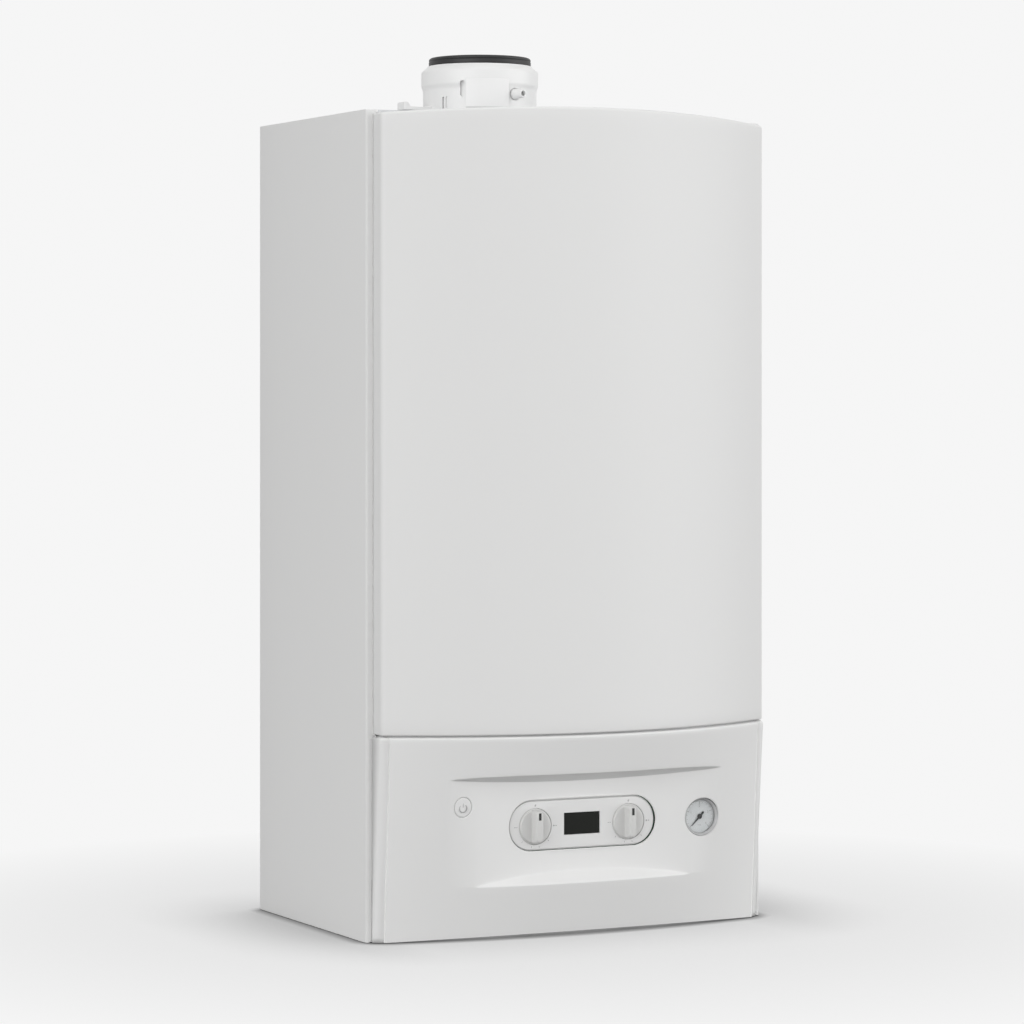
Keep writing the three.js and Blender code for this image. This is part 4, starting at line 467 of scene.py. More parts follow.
# Face: corner and bow both shrink linearly towards the foot
def fasciaReach(x, z):
    down = 1 - z / cover["seam"]
    corner = cover["corner"] - fascia["cornerLean"] * down
    bow = cover["bow"] - (fascia["middleLean"] - fascia["cornerLean"]) * down
    return corner + bow * (1 - (x / cover["bowHalf"]) ** 2)


def fasciaKeys(x):
    upper = np.maximum(0, 1 - (x / fascia["upperTip"]) ** 2)
    lower = np.maximum(0, 1 - (x / fascia["lowerTip"]) ** 2)
    # Depth share u^2 / (u + ease): the band leaves the face without a crease at its tips
    upperShare, lowerShare = (share ** 2 / (share + fascia["ease"]) for share in (upper, lower))
    roof = np.maximum(0, 1 - (x / fascia["upperTip"]) ** 4)
    arch = np.maximum(0, 1 - (x / fascia["faceHalf"]) ** 2)
    zero = np.zeros_like(x)
    bandLow = fascia["lowerZ"] + fascia["edge"] + fascia["lowerRise"] * lower
    bandHigh = fascia["upperZ"] - fascia["edge"] - fascia["upperFall"] * upper
    return [
        (fascia["low"] + fascia["lowArch"] * arch, zero),
        (zero + fascia["lowerZ"] - fascia["edge"], zero),
        (bandLow, fascia["lowerDepth"] * lowerShare),
        (bandHigh, fascia["upperDepth"] * upperShare),
        (fascia["upperZ"] + fascia["edge"] + fascia["upperRise"] * roof, zero),
        (zero + fascia["high"] - fascia["topCut"], zero),
    ]


# Rows of (reach, z) for every x, with each crescent edge rounded by a short arc
def fasciaRows(x):
    keys = [np.stack([fasciaReach(x, z) - scoop, z], axis=-1) for z, scoop in fasciaKeys(x)]
    rows = [keys[0]]
    starts = keys[0]
    for i in range(1, len(keys) - 1):
        ends = []
        for way in (keys[i - 1] - keys[i], keys[i + 1] - keys[i]):
            length = np.linalg.norm(way, axis=1, keepdims=True)
            ends.append(keys[i] + way / length * np.minimum(fascia["edgeCut"], length * 0.45))
        arcStart, arcEnd = ends
        for share in np.linspace(0, 1, fascia["spans"][i - 1] + 1)[1:]:
            rows.append(starts + (arcStart - starts) * share)
        for t in (0.25, 0.5, 0.75, 1.0):
            rows.append((1 - t) ** 2 * arcStart + 2 * t * (1 - t) * keys[i] + t ** 2 * arcEnd)
        starts = arcEnd
    for share in np.linspace(0, 1, fascia["spans"][-1] + 1)[1:]:
        rows.append(starts + (keys[-1] - starts) * share)
    return rows


def makeFascia():
    bowHalf = fascia["faceHalf"] - fascia["faceEdge"]
    x = np.linspace(-bowHalf, bowHalf, fascia["columns"])
    layers = []
    for row in fasciaRows(x):
        z = row[0, 1]
        front = np.stack([x, row[:, 0], row[:, 1]], axis=-1)
        lean = fascia["flankLean"] * (1 - z / cover["seam"])
        corner = np.array([-fascia["faceHalf"], fasciaReach(fascia["faceHalf"], z)])
        bowEdge = np.array([-bowHalf, row[0, 0]])
        side = roundCorners(
            [(-fascia["half"], fascia["rear"]), (-fascia["half"], fascia["sideFront"] - lean), corner, bowEdge],
            [0, fascia["sideCut"], 0, 0], 6,
        )[:-2]
        # A fine crease runs down the corner and dies out below the rounded top
        fade = (fascia["high"] - fascia["creaseEnd"] - z) / fascia["creaseFade"]
        crease = fascia["creaseDepth"] * min(max(fade, 0), 1)
        flank, brow = (corner + (end - corner) / np.linalg.norm(end - corner) * fascia["crease"]
                       for end in (side[-1], bowEdge))
        side = np.concatenate([side, [flank, corner + [crease * fascia["creaseLean"], -crease], brow]])
        left = np.insert(side, 2, z, axis=1)
        layers.append(np.concatenate([left, front, left[::-1] * [-1, 1, 1]]))
    points = turnTop(layers, fascia["topCut"], fascia["rear"])
    # The shell parts behind the crease: the face between the corners, and the two ends round them
    parting = len(side) - 3
    parts = {"fascia_shell": [points[:, parting:-parting]],
             "fascia_ends": [points[:, :parting + 1], points[:, -parting - 1:]]}
    pieces = []
    for name, grids in parts.items():
        shell = joined(name, [fromFaces(name, grid, gridFaces(*grid.shape[:2])) for grid in grids])
        piece = newObject(name, smooth(shell, 60), "panel", "white_plastic")
        pieces.append(thicken(piece, fascia["wall"]))
    return pieces


bezel = {
    "z": 99.3, "half": 73.8, "radius": 21.8, "front": 274.54, "rear": 260.34, "wall": 2.5, "groove": 1.1,
    "step": 0.85, "stepDrop": 2.6, "edge": 1.3, "screenHalf": 18.4, "screenLow": 89.3, "screenHigh": 109.3,
    "screenCorner": 0.5, "cutRear": 255.0, "cutFront": 290.0, "bevel": 0.25,
}
knob = {
    "x": 47.35, "z": 98.4, "radius": 16.0, "gap": 0.5, "footGap": 0.3, "front": 275.64, "rear": 268.04,
    "crest": 284.54, "skirt": 15.2, "skirtDrop": 0.4, "dome": 0.35, "shaft": 3.0, "shaftRear": 250.3,
    "barHalf": 4.5, "barTip": 3.9, "barLength": 15.0, "barSink": 0.6, "barRound": 1.3, "barCorner": 2.6,
    "barLevels": 14, "endRound": 1.4, "endTaper": 1.2, "pointerShift": -0.1, "pointerRise": 9.6,
    "pointerLong": 6.4, "pointerWide": 2.5,
}
button = {
    "x": -122.99, "z": 119.9, "radius": 8.7, "gap": 0.45, "footGap": 0.2, "cap": 8.45, "capDrop": 0.9,
    "rearDrop": 12.5, "stemDrop": 20.2, "stem": 3.0, "around": 72, "signRadius": 3.6, "signDrop": 0.7,
    "strokeLong": 1.0, "strokeWide": 0.7, "barRise": 2.2, "barLong": 4.2, "signLift": 0.35,
}
# Ticks are (radius, length, width); turned profiles are (radius, reach, cut)
gauge = {
    "x": 121.28, "z": 99.3, "hole": 17.5, "start": 225, "sweep": 270, "print": 274.4,
    "major": (12.4, 2.6, 0.5), "minor": (12.9, 1.4, 0.25), "arc": (13.8, 1.3, 0.22), "unit": (-7.9, 1.2, 0.35),
    "numberRadius": 9.4, "numberSize": 3.2, "numberDeep": 0.04, "numberLift": 0.06,
    "card": [(1.5, 273.6, 0.1), (14.9, 273.6, 0.1), (14.9, 274.4, 0.1), (1.5, 274.4, 0.1)],
    "needle": [(11.8, 0.28), (8.0, 0.42), (3.0, 0.7), (0, 1.2), (-3.0, 0.85), (-5.0, 0.95), (-5.7, 0.5)],
    "needleRear": 275.0, "needleFront": 275.5,
    "hub": [(0, 273.8), (1.2, 273.8), (1.2, 274.9), (2.3, 274.9, 0.2), (2.3, 275.7, 0.4), (0, 276.0)],
    "lens": [(0, 276.3), (15.0, 276.3, 0.2), (15.0, 276.9, 0.5), (0, 277.4)],
}

lip = {"width": 0.7, "land": 0.35, "deep": 2.3, "proud": 0.01, "room": 0.05, "cutRear": 240.0, "cutFront": 340.0}


# Depth of the scoop at a point, from the same rows as the fascia
def scoopAt(x, z):
    keys = fasciaKeys(np.asarray(x, dtype=float))
    heights = np.stack([key[0] for key in keys])
    depths = np.stack([key[1] for key in keys])
    return np.array([np.interp(height, heights[:, i], depths[:, i]) for i, height in enumerate(np.asarray(z))])


def faceAt(x, z):
    return fasciaReach(x, z) - scoopAt(x, z)


# Outlines of the three openings, each pushed outwards by an offset
def stadiumAt(half, radius):
    return boxOutline(-half, half, bezel["z"] - radius, bezel["z"] + radius, radius - 0.01, 32)


def bezelHole(offset):
    return stadiumAt(bezel["half"] + bezel["groove"] + offset, bezel["radius"] + bezel["groove"] + offset)


def roundHole(cx, cz, radius, count=96):
    along, up = np.cos(circle(count)), np.sin(circle(count))
    return lambda offset: np.stack([cx + (radius + offset) * along, cz + (radius + offset) * up], axis=-1)


# Lip of an opening: a quarter circle from the face down into the hole, carried round the outline
def makeLip(name, outlineAt):
    width, outer = lip["width"], lip["width"] + lip["land"]
    profile = [(outer, -lip["proud"]), (width, -lip["proud"])]
    profile += [(width * (1 - math.sin(angle)), width * (1 - math.cos(angle)))
                for angle in np.radians([22.5, 45, 67.5, 90])]
    profile += [(0, lip["deep"]), (outer, lip["deep"])]
    rings = []
    for offset, drop in [*profile, profile[0]]:
        x, z = outlineAt(offset).T
        rings.append(np.stack([x, faceAt(x, z) - drop, z], axis=-1))
    mesh = fromFaces(name, rings, gridFaces(len(rings), len(rings[0]), wrap=True))
    newObject(name, tidyMesh(mesh, 50, 1e-7), "panel", "white_plastic")


holes = {
    "bezel_lip": bezelHole,
    "gauge_lip": roundHole(gauge["x"], gauge["z"], gauge["hole"]),
    "button_lip": roundHole(button["x"], button["z"], button["radius"] + button["gap"], button["around"]),
}
fasciaPiece, fasciaEnds = makeFascia()
cutWith(fasciaPiece, [prism(f"{name}_cut", outlineAt(lip["width"] + lip["room"]), lip["cutRear"], lip["cutFront"])
                      for name, outlineAt in holes.items()])
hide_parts("control_fascia")
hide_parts("control_fascia")
for holeName, holeOutline in holes.items():
    makeLip(holeName, holeOutline)

# A thin wall on the fascia's top, set back from its face and sides, closes the view into the seam. Its mid grey
# is painted shade for the dark inside of the seam
seamWall = {"half": 191.5, "setBack": 6.5, "wall": 1.2, "foot": 182.4, "high": 184.6, "rear": 249.0,
            "columns": 121}


def makeSeamWall():
    lines = []
    for inset in (0.0, seamWall["wall"]):
        half = seamWall["half"] - inset
        x = np.linspace(-half, half, seamWall["columns"])
        front = np.stack([x, fasciaReach(x, fascia["high"]) - seamWall["setBack"] - inset], axis=-1)
        lines.append(np.concatenate([[(-half, seamWall["rear"])], front, [(half, seamWall["rear"])]]))
    outline = np.concatenate([lines[0], lines[1][::-1]])
    mesh = prism("seam_wall", outline, seamWall["foot"], seamWall["high"], "z")
    # Mid grey on a white plastic wall: painted shade inside the seam
    newObject("seam_wall", mesh, "panel", "white_plastic", "ringGrey")


makeSeamWall()
print("fascia done")

# Front edges of the side panels beside the fascia, wide above the hinge and narrow where the fascia swings. They
# take a darker copy of the white paint: painted shade beside the fascia
edging = {"outer": 198.5, "inner": 190.0, "narrow": 196.08, "rear": 244.85, "front": 246.85, "low": 1.0,
          "step": 56.0, "slope": 4.0, "high": 181.5}
edgingOutline = np.array([
    (edging["outer"], edging["low"]), (edging["narrow"], edging["low"]), (edging["narrow"], edging["step"]),
    (edging["inner"], edging["step"] + edging["slope"]), (edging["inner"], edging["high"]),
    (edging["outer"], edging["high"]),
])
for side, sideName in sides.items():
    edgingMesh = prism("edging", edgingOutline * (side, 1), edging["rear"], edging["front"])
    newObject(f"edging_{sideName}", edgingMesh, "casing", "white_paint", "edgePaint")

# Hinge ears inside the fascia and the posts that meet the electronics box; both end inside its wall

hinge = {
    "reach": 269.0, "z": 27.0, "x": 60.0, "arm": 4.0, "gap": 1.5, "ear": 4.0, "earRear": 262.0,
    "earLow": 14.0, "earHigh": 42.0, "earCut": 6.0, "hole": 3.3, "holeRoom": 9.0,
}
posts = {"x": 150.0, "z": (50.0, 150.0), "radius": 6.0, "rear": 250.3}
bond = fascia["wall"] * 0.6


def makeEars():
    offset = hinge["arm"] / 2 + hinge["gap"] + hinge["ear"] / 2
    heights = np.linspace(hinge["earLow"], hinge["earHigh"], 8)
    for side, sideName in sides.items():
        for number, step in enumerate((-offset, offset)):
            x = side * hinge["x"] + step
            front = [(fasciaReach(x, z) - bond, z) for z in heights]
            outline = roundCorners(
                [*front, (hinge["earRear"], hinge["earHigh"]), (hinge["earRear"], hinge["earLow"])],
                [*[0] * len(front), hinge["earCut"], 0], 6,
            )
            mesh = prism("hinge_ear", outline, x - hinge["ear"] / 2, x + hinge["ear"] / 2, "x")
            ear = newObject(f"hinge_ear_{sideName}_{number}", mesh, "panel", "white_plastic")
            cutWith(ear, [rod("ear_hole", hinge["hole"], x - hinge["holeRoom"], x + hinge["holeRoom"],
                              (0, hinge["reach"], hinge["z"]), "x")])


makeEars()

for side, sideName in sides.items():
    for postZ in posts["z"]:
        # A post's front is set by its outer edge, where the bow lies deepest
        postFront = float(fasciaReach(posts["x"] + posts["radius"], postZ - posts["radius"])) - bond
        postMesh = rod("fascia_post", posts["radius"], posts["rear"], postFront, (side * posts["x"], 0, postZ),
                       "y", 40, 0.6)
        newObject(f"fascia_post_{sideName}_{int(postZ)}", postMesh, "panel", "white_plastic")


# Bezel with its screen opening and knob wells

def makeBezel():
    edge, front, wall = bezel["edge"], bezel["front"], bezel["wall"]
    shoulder = front - bezel["stepDrop"]
    # Rings are (inset, reach), from the inside round the rear to the face. A step round the bezel makes the floor
    # of the groove between it and the fascia.
    rings = [(wall, front - wall), (wall, bezel["rear"]), (-bezel["step"], bezel["rear"]),
             (-bezel["step"], shoulder), (0.0, shoulder), (0.0, front - edge)]
    rings += [(edge * (1 - math.cos(angle)), front - edge + edge * math.sin(angle))
              for angle in np.radians(range(18, 91, 18))]
    points = [np.insert(stadiumAt(bezel["half"] - inset, bezel["radius"] - inset), 1, reach, axis=1)
              for inset, reach in rings]
    mesh = fromFaces("bezel_shell", points, gridFaces(len(points), len(points[0]), wrap=True, caps=(0, -1)))
    piece = newObject("bezel_shell", tidyMesh(mesh), "panel", "white_plastic", "bezelPlastic")
    cuts = [rod("well", knob["radius"] + knob["gap"], bezel["cutRear"], bezel["cutFront"],
                (side * knob["x"], 0, knob["z"]), count=96) for side in sides]
    screen = boxOutline(-bezel["screenHalf"], bezel["screenHalf"], bezel["screenLow"], bezel["screenHigh"],
                        bezel["screenCorner"], 4)
    cutWith(piece, [prism("screen", screen, bezel["cutRear"], bezel["cutFront"]), *cuts])
    addBevel(piece, bezel["bevel"], 50)
    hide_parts("control_bezel")


makeBezel()


# Flat printed marks: bars (x, z, length, width, angle) on a plane facing the user, raised by a hair

def printedBars(name, bars, reach, look, body, slotName, lift=0.06, sunk=0.2):
    marks = []
    for cx, cz, length, width, angle in bars:
        along = np.array([math.cos(angle), math.sin(angle)]) * length / 2
        across = np.array([-math.sin(angle), math.cos(angle)]) * width / 2
        corners = [along * a + across * b + (cx, cz) for a, b in ((-1, -1), (1, -1), (1, 1), (-1, 1))]
        marks.append(prism("mark", corners, reach - sunk, reach + lift))
    newObject(name, joined(name, marks), body, slotName, look)


def polar(cx, cz, radius, degrees):
    angle = math.radians(degrees)
    return cx + radius * math.cos(angle), cz + radius * math.sin(angle)


# Marks round a knob: radius and angle of the place, shift from it in x and z, length, width, own angle
knobPrint = [
    *[(18.7, degrees, 0, 0, 1.5, 0.35, degrees) for degrees in (225, 258, 282, 315)],
    # Left and right: small minus and plus signs
    (19.6, 180, -0.9, 0, 1.5, 0.4, 0), (19.6, 180, 1.1, 0, 1.2, 0.4, 0),
    (19.6, 0, -0.9, 0, 1.5, 0.5, 0), (19.6, 0, -0.9, 0, 1.5, 0.5, 90), (19.6, 0, 1.3, 0, 1.2, 0.6, 0),
    # Top: a short flame-like group of strokes
    (18.9, 90, 0, 0, 2.0, 0.45, 90), (18.9, 90, 0.7, 0.3, 1.0, 0.35, 60), (18.9, 90, -0.6, -0.3, 0.9, 0.35, 120),
]


def knobMarks(side):
    bars = []
    for radius, degrees, dx, dz, length, width, turn in knobPrint:
        x, z = polar(side * knob["x"], knob["z"], radius, degrees)
        bars.append((x + dx, z + dz, length, width, math.radians(turn)))
    printedBars(f"knob_marks_{sides[side]}", bars, bezel["front"], "printGrey", "panel", "black_plastic")


def makeKnob(side, name, body):
    cx, cz, front = side * knob["x"], knob["z"], knob["front"]
    radius = knob["radius"] + knob["gap"] - knob["footGap"]
    foot = bezel["front"] - knob["skirtDrop"]
    skirt = turned(name, [
        (0, knob["rear"]), (radius, knob["rear"], 0.4), (radius, foot, 0.2), (knob["skirt"], foot, 0.5),
        (knob["skirt"] - 0.1, front, 0.8), (knob["skirt"] - 4.0, front + knob["dome"], 3.0),
        (0, front + knob["dome"]),
    ], (cx, 0, cz))
    shaft = rod("shaft", knob["shaft"], knob["shaftRear"], knob["rear"] + 1, (cx, 0, cz), cut=0.4)
    # Grip: half width narrows from foot to crest, and both ends round off towards the crest
    start = front - knob["barSink"]
    rings = []
    for t in np.linspace(0, 1, knob["barLevels"]):
        reach = start + (knob["crest"] - start) * math.sin(t * math.pi / 2)
        shrink = knob["barRound"] * (1 - math.cos(t * math.pi / 2))
        half = knob["barHalf"] + (knob["barTip"] - knob["barHalf"]) * t - shrink
        length = knob["barLength"] - shrink * knob["endRound"] - knob["endTaper"] * t ** 3
        corner = min(half, knob["barCorner"]) * 0.98
        ring = boxOutline(cx - half, cx + half, cz - length, cz + length, corner, 14)
        rings.append(np.insert(ring, 1, reach, axis=1))
    grip = fromFaces("grip", rings, gridFaces(len(rings), len(rings[0]), wrap=True, caps=(0, -1)))
    whole = joined(name, [skirt, tidyMesh(grip, 50), shaft])
    piece = newObject(name, whole, body, "white_plastic", "knobPlastic")
    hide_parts(body)
    mark = (cx + knob["pointerShift"], cz + knob["pointerRise"], knob["pointerLong"], knob["pointerWide"],
            math.pi / 2)
    printedBars(f"{name}_pointer", [mark], knob["crest"], "printBlack", body, "black_plastic", 0.1)


for side, *names in ((-1, "heating_dial", "heating_knob"), (1, "hot_water_dial", "hot_water_knob")):
    makeKnob(side, *names)
    knobMarks(side)
print("controls done")

# Display pane, with a narrow gap round it to the bezel's opening

window = {"half": 18.1, "low": 89.6, "high": 109.0, "corner": 0.6, "rear": 270.34, "front": 273.24}
paneOutline = boxOutline(-window["half"], window["half"], window["low"], window["high"], window["corner"], 4)
paneMesh = prism("display_pane", paneOutline, window["rear"], window["front"])
windowPiece = newObject("display_pane", paneMesh, "panel", "display_glass")
addBevel(windowPiece, 0.3)
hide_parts("display_window")


# Power button: a cap that follows the scooped band, a foot below it and a plain on-off sign

def makeButton():
    cx, cz, cap, capDrop = (button[key] for key in ("x", "z", "cap", "capDrop"))
    face = faceAt(np.array([cx]), np.array([cz]))[0]
    foot = button["radius"] + button["gap"] - button["footGap"]
    # Each ring is (radius, drop below the face)
    profile = [(0, 0), *[(cap * share, 0) for share in np.linspace(0.1, 0.94, 9)]]
    profile += [(cap * 0.98, 0.12), (cap, 0.4), (cap, capDrop), (foot, capDrop)]
    angles = circle(button["around"])
    rings = []
    for radius, drop in profile:
        x, z = cx + radius * np.cos(angles), cz + radius * np.sin(angles)
        rings.append(np.stack([x, faceAt(x, z) - drop, z], axis=-1))
    rear = rings[-1].copy()
    rear[:, 1] = face - button["rearDrop"]
    faces = gridFaces(len(rings) + 1, len(angles), wrap=True, caps=(-1,))
    capMesh = tidyMesh(fromFaces("power_cap", [*rings, rear], faces))
    stem = rod("stem", button["stem"], face - button["stemDrop"], face - button["rearDrop"] + 1, (cx, 0, cz),
               cut=0.4)
    piece = newObject("power_cap", joined("power_cap", [capMesh, stem]), "power_button", "white_plastic")
    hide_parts("power_button")
    # The sign is an arc of short strokes, open at the top, with an upright bar in its opening
    wide = button["strokeWide"]
    bars = [(*polar(cx, cz - button["signDrop"], button["signRadius"], degrees), button["strokeLong"], wide,
             math.radians(degrees + 90)) for degrees in range(140, 401, 13)]
    bars.append((cx, cz + button["barRise"], button["barLong"], wide, math.pi / 2))
    printedBars("power_sign", bars, face, "printPale", "power_button", "white_plastic", button["signLift"])


makeButton()


# Pressure gauge: chamfered cup, dial with ticks and numbers, needle, lens

def dialAngle(share):
    return gauge["start"] - gauge["sweep"] * share


def makeNumber(value, x, z):
    text = bpy.data.curves.new(f"gauge_number_{value}", "FONT")
    text.body = str(value)
    text.size = gauge["numberSize"] * mm
    text.align_x = "CENTER"
    text.align_y = "CENTER"
    text.extrude = gauge["numberDeep"] * mm
    holder = addObject(text.name, text)
    holder.rotation_euler = (math.radians(90), 0, 0)
    holder.location = (x * mm, fromWall(gauge["print"] + gauge["numberLift"]) * mm, z * mm)
    bpy.context.view_layer.update()
    mesh = bpy.data.meshes.new_from_object(holder.evaluated_get(bpy.context.evaluated_depsgraph_get()))
    mesh.transform(holder.matrix_world)
    bpy.data.objects.remove(holder)
    return mesh


def makeGauge():
    cx, cz = gauge["x"], gauge["z"]
    centre = (cx, 0, cz)
    face = faceAt(np.array([cx]), np.array([cz]))[0]
    rim = turned("gauge_rim", [
        (0, 252.1), (17.2, 252.1, 0.5), (17.2, face - 1.3, 0.3), (16.7, face - 1.0, 0.3), (15.2, 277.0, 0.3),
        (15.2, 273.4), (0, 273.4),
    ], centre)
    # The white plastic rim is drawn in mid grey: painted shade on the cup's wall round the dial
    piece = newObject("gauge_rim", rim, "panel", "white_plastic", "ringGrey")
    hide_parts("gauge_housing")
    card = turned("gauge_card", gauge["card"], centre, "y", 72, 3, True)
    cardPiece = newObject("gauge_card", card, "panel", "white_plastic", "dialCard")
    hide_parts("gauge_dial")
    ticks = []
    for step in range(17):
        degrees = dialAngle(step / 16)
        radius, *size = gauge["major"] if step % 4 == 0 else gauge["minor"]
        ticks.append((*polar(cx, cz, radius, degrees), *size, math.radians(degrees)))
    # A thin arc joins the tick marks
    radius, *size = gauge["arc"]
    for step in range(55):
        degrees = dialAngle(step / 54)
        ticks.append((*polar(cx, cz, radius, degrees), *size, math.radians(degrees + 90)))
    # A short unit mark below the hub, drawn as plain strokes
    rise, *size = gauge["unit"]
    ticks += [(cx + shift, cz + rise, *size, math.pi / 2) for shift in (-1.2, 0.0, 1.2)]
    printedBars("gauge_ticks", ticks, gauge["print"], "printGrey", "panel", "black_plastic", 0.05)
    numbers = [makeNumber(value, *polar(cx, cz, gauge["numberRadius"], dialAngle(value / 4)))
               for value in range(5)]
    newObject("gauge_numbers", joined("gauge_numbers", numbers), "panel", "black_plastic", "printGrey")
    # The needle is drawn along its length, one half mirrored, and points at the dial's start
    along = np.array(polar(0, 0, 1, gauge["start"]))
    half = np.array(gauge["needle"])
    line = np.concatenate([half, half[::-1] * (1, -1)])
    line = line @ [along, (-along[1], along[0])] + (cx, cz)
    blade = prism("blade", line, gauge["needleRear"], gauge["needleFront"])
    hub = turned("hub", gauge["hub"], centre, "y", 40)
    pointer = newObject("gauge_pointer", joined("gauge_pointer", [blade, hub]), "gauge_needle", "black_plastic",
                        "printBlack")
    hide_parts("gauge_needle")
    lens = turned("gauge_glass", gauge["lens"], centre, "y", 72)
    glass = newObject("gauge_glass", lens, "panel", "clear_lens")
    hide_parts("gauge_lens")


makeGauge()
print("gauge done")

# Flue adaptor: stepped collar with pad, slots, tab and test nozzle, seal ring and inner pipe

flue = {
    "reach": 62.8, "nozzleZ": 770.0, "nozzleTurn": 102, "recess": 6.0, "recessFloor": 52.4, "outside": 62.0,
    "padFrom": 50.4, "padTo": 93.5, "padColumns": 40, "tabHalf": 8.0,
    "collar": [(46.0, 740.3), (60.0, 740.3, 0.8), (60.0, 743.3, 0.8), (56.0, 746.0, 2.0), (54.2, 752.0, 2.0),
               (54.2, 776.0, 1.6), (55.9, 780.0, 1.6), (55.9, 793.4, 1.4), (50.2, 798.3, 0.5), (49.7, 799.1, 0.2),
               (46.95, 799.1, 0.2), (46.95, 794.0, 0.3), (46.0, 794.0, 0.3)],
    # Each slot is (azimuth, half width, low, high, radius of its floor)
    "slots": [(47.0, 2.8, 767.0, 782.3, 51.0), (24.5, 1.2, 752.0, 767.7, 51.5), (29.0, 1.2, 752.0, 767.7, 53.0)],
    "pad": [(54.6, 756), (56.3, 757.5), (56.3, 783.2), (55.7, 784.3), (53.4, 784.3), (53.4, 756)],
    "nozzle": [(0, -50), (5.1, -50), (5.1, -56.2, 0.5), (4.6, -57.4, 0.6), (4.0, -65.6, 0.8), (3.4, -67.0, 0.5),
               (2.5, -67.0, 0.3), (2.5, -60, 0.1), (0, -60)],
    "tab": [(-50, 755.5), (-83, 755.5), (-83, 763), (-78.6, 763), (-76.5, 758.6), (-60, 758.5), (-50, 761)],
    "tabCuts": [0, 0.6, 1.0, 1.0, 1.6, 3.0, 0],
    "ring": [(44.0, 794.6, 0.2), (46.6, 794.6, 0.2), (46.6, 799.4, 0.2), (48.7, 799.4, 0.4), (48.7, 803.2, 0.3),
             (48.1, 803.8, 0.2), (48.6, 804.4, 0.3), (48.6, 805.6, 0.6), (47.2, 807.0, 0.6), (44.6, 807.0, 0.4),
             (44.0, 805.8, 0.4)],
    "bore": (2.45, -59.9, -60.6),
    "inner": [(28.5, 704.3, 0.2), (30.0, 704.3, 0.2), (30.0, 803.0, 0.6), (28.5, 803.0, 0.6)],
}


# Swings a mesh round the flue's axis
def flueSpoke(mesh, azimuth):
    centre = Matrix.Translation((0, fromWall(flue["reach"]) * mm, 0))
    mesh.transform(centre @ Matrix.Rotation(math.radians(azimuth), 4, "Z") @ centre.inverted())
    return mesh


def makeFlue():
    reach = flue["reach"]
    middle = (0, reach, 0)
    collar = turned("flue_collar", flue["collar"], middle, "z", 144, 5, True)
    piece = newObject("flue_collar", collar, "casing", "flue_plastic")
    cutters = []
    # Each slot is drawn facing the user, from its floor outwards, and then swung round to its azimuth
    for azimuth, half, low, high, floor in flue["slots"]:
        outline = boxOutline(-half, half, low, high, half * 0.95, 8)
        slot = prism("slot", outline, reach + floor, reach + flue["outside"])
        cutters.append(flueSpoke(slot, azimuth - 90))
    # A round recess takes the foot of the test nozzle
    foot = (0, reach, flue["nozzleZ"])
    recess = rod("nozzle_recess", flue["recess"], -flue["recessFloor"], -flue["outside"], foot, "x", 48)
    cutters.append(flueSpoke(recess, flue["nozzleTurn"]))
    cutWith(piece, cutters)
    addBevel(piece, 0.3, 40)
    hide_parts("flue_adaptor")

    # Raised pad on the collar, from its left edge beside the slot round to the nozzle
    angles = np.radians(np.linspace(flue["padFrom"], flue["padTo"], flue["padColumns"]))[:, None]
    radius, level = np.array(flue["pad"]).T
    points = np.stack([-radius * np.cos(angles), reach + radius * np.sin(angles), level + 0 * angles], axis=-1)
    pad = tidyMesh(fromFaces("flue_pad", points, gridFaces(*points.shape[:2], wrap=True, caps=(0, -1))))
    addBevel(newObject("flue_pad", pad, "casing", "flue_plastic"), 0.3, 40)

    nozzle = turned("nozzle", flue["nozzle"], foot, "x", 48)
    newObject("flue_nozzle", flueSpoke(nozzle, flue["nozzleTurn"]), "casing", "flue_plastic")
    bore = rod("nozzle_bore", *flue["bore"], foot, "x")
    newObject("flue_nozzle_bore", flueSpoke(bore, flue["nozzleTurn"]), "casing", "black_plastic")

    tabOutline = roundCorners(flue["tab"], flue["tabCuts"])
    tab = prism("flue_tab", tabOutline, reach - flue["tabHalf"], reach + flue["tabHalf"])
    addBevel(newObject("flue_tab", tab, "casing", "flue_plastic"), 0.5)

    seal = turned("flue_ring", flue["ring"], middle, "z", 144, 4, True)
    sealPiece = newObject("flue_ring", seal, "casing", "black_rubber")
    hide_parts("flue_seal")
    pipe = turned("flue_inner", flue["inner"], middle, "z", 96, 4, True)
    pipePiece = newObject("flue_inner", pipe, "casing", "flue_plastic")
    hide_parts("inner_flue_pipe")


makeFlue()
print("flue done")


# Pipes follow the same corners as in the frame, with true round sections: corners, radius, bend

pipes = {
    "lower_gas_pipe": ([(0, 100, 46), (0, 100, 228), (88, 143, 228), (88, 143, 249.7)], 8.0, 12.0),
    "upper_gas_pipe": ([(88, 143, 322.3), (88, 143, 384), (128, 208.65, 384), (128, 208.65, 429.7)], 8.0, 12.0),
    "return_pipe": ([(160, 100, 236.3), (160, 100, 262), (184, 70, 304), (184, 70, 545), (114.3, 70, 545)],
                    9.0, 16.0),
    "flow_pipe": ([(-70, 130, 477.7), (-70, 130, 440), (-116.3, 100, 400), (-116.3, 100, 140.3)], 9.0, 16.0),
    "condensate_hose": ([(-30, 75, 418.3), (-30, 75, 435), (0, 62.8, 435), (0, 62.8, 451.7)], 10.0, 12.0),
}


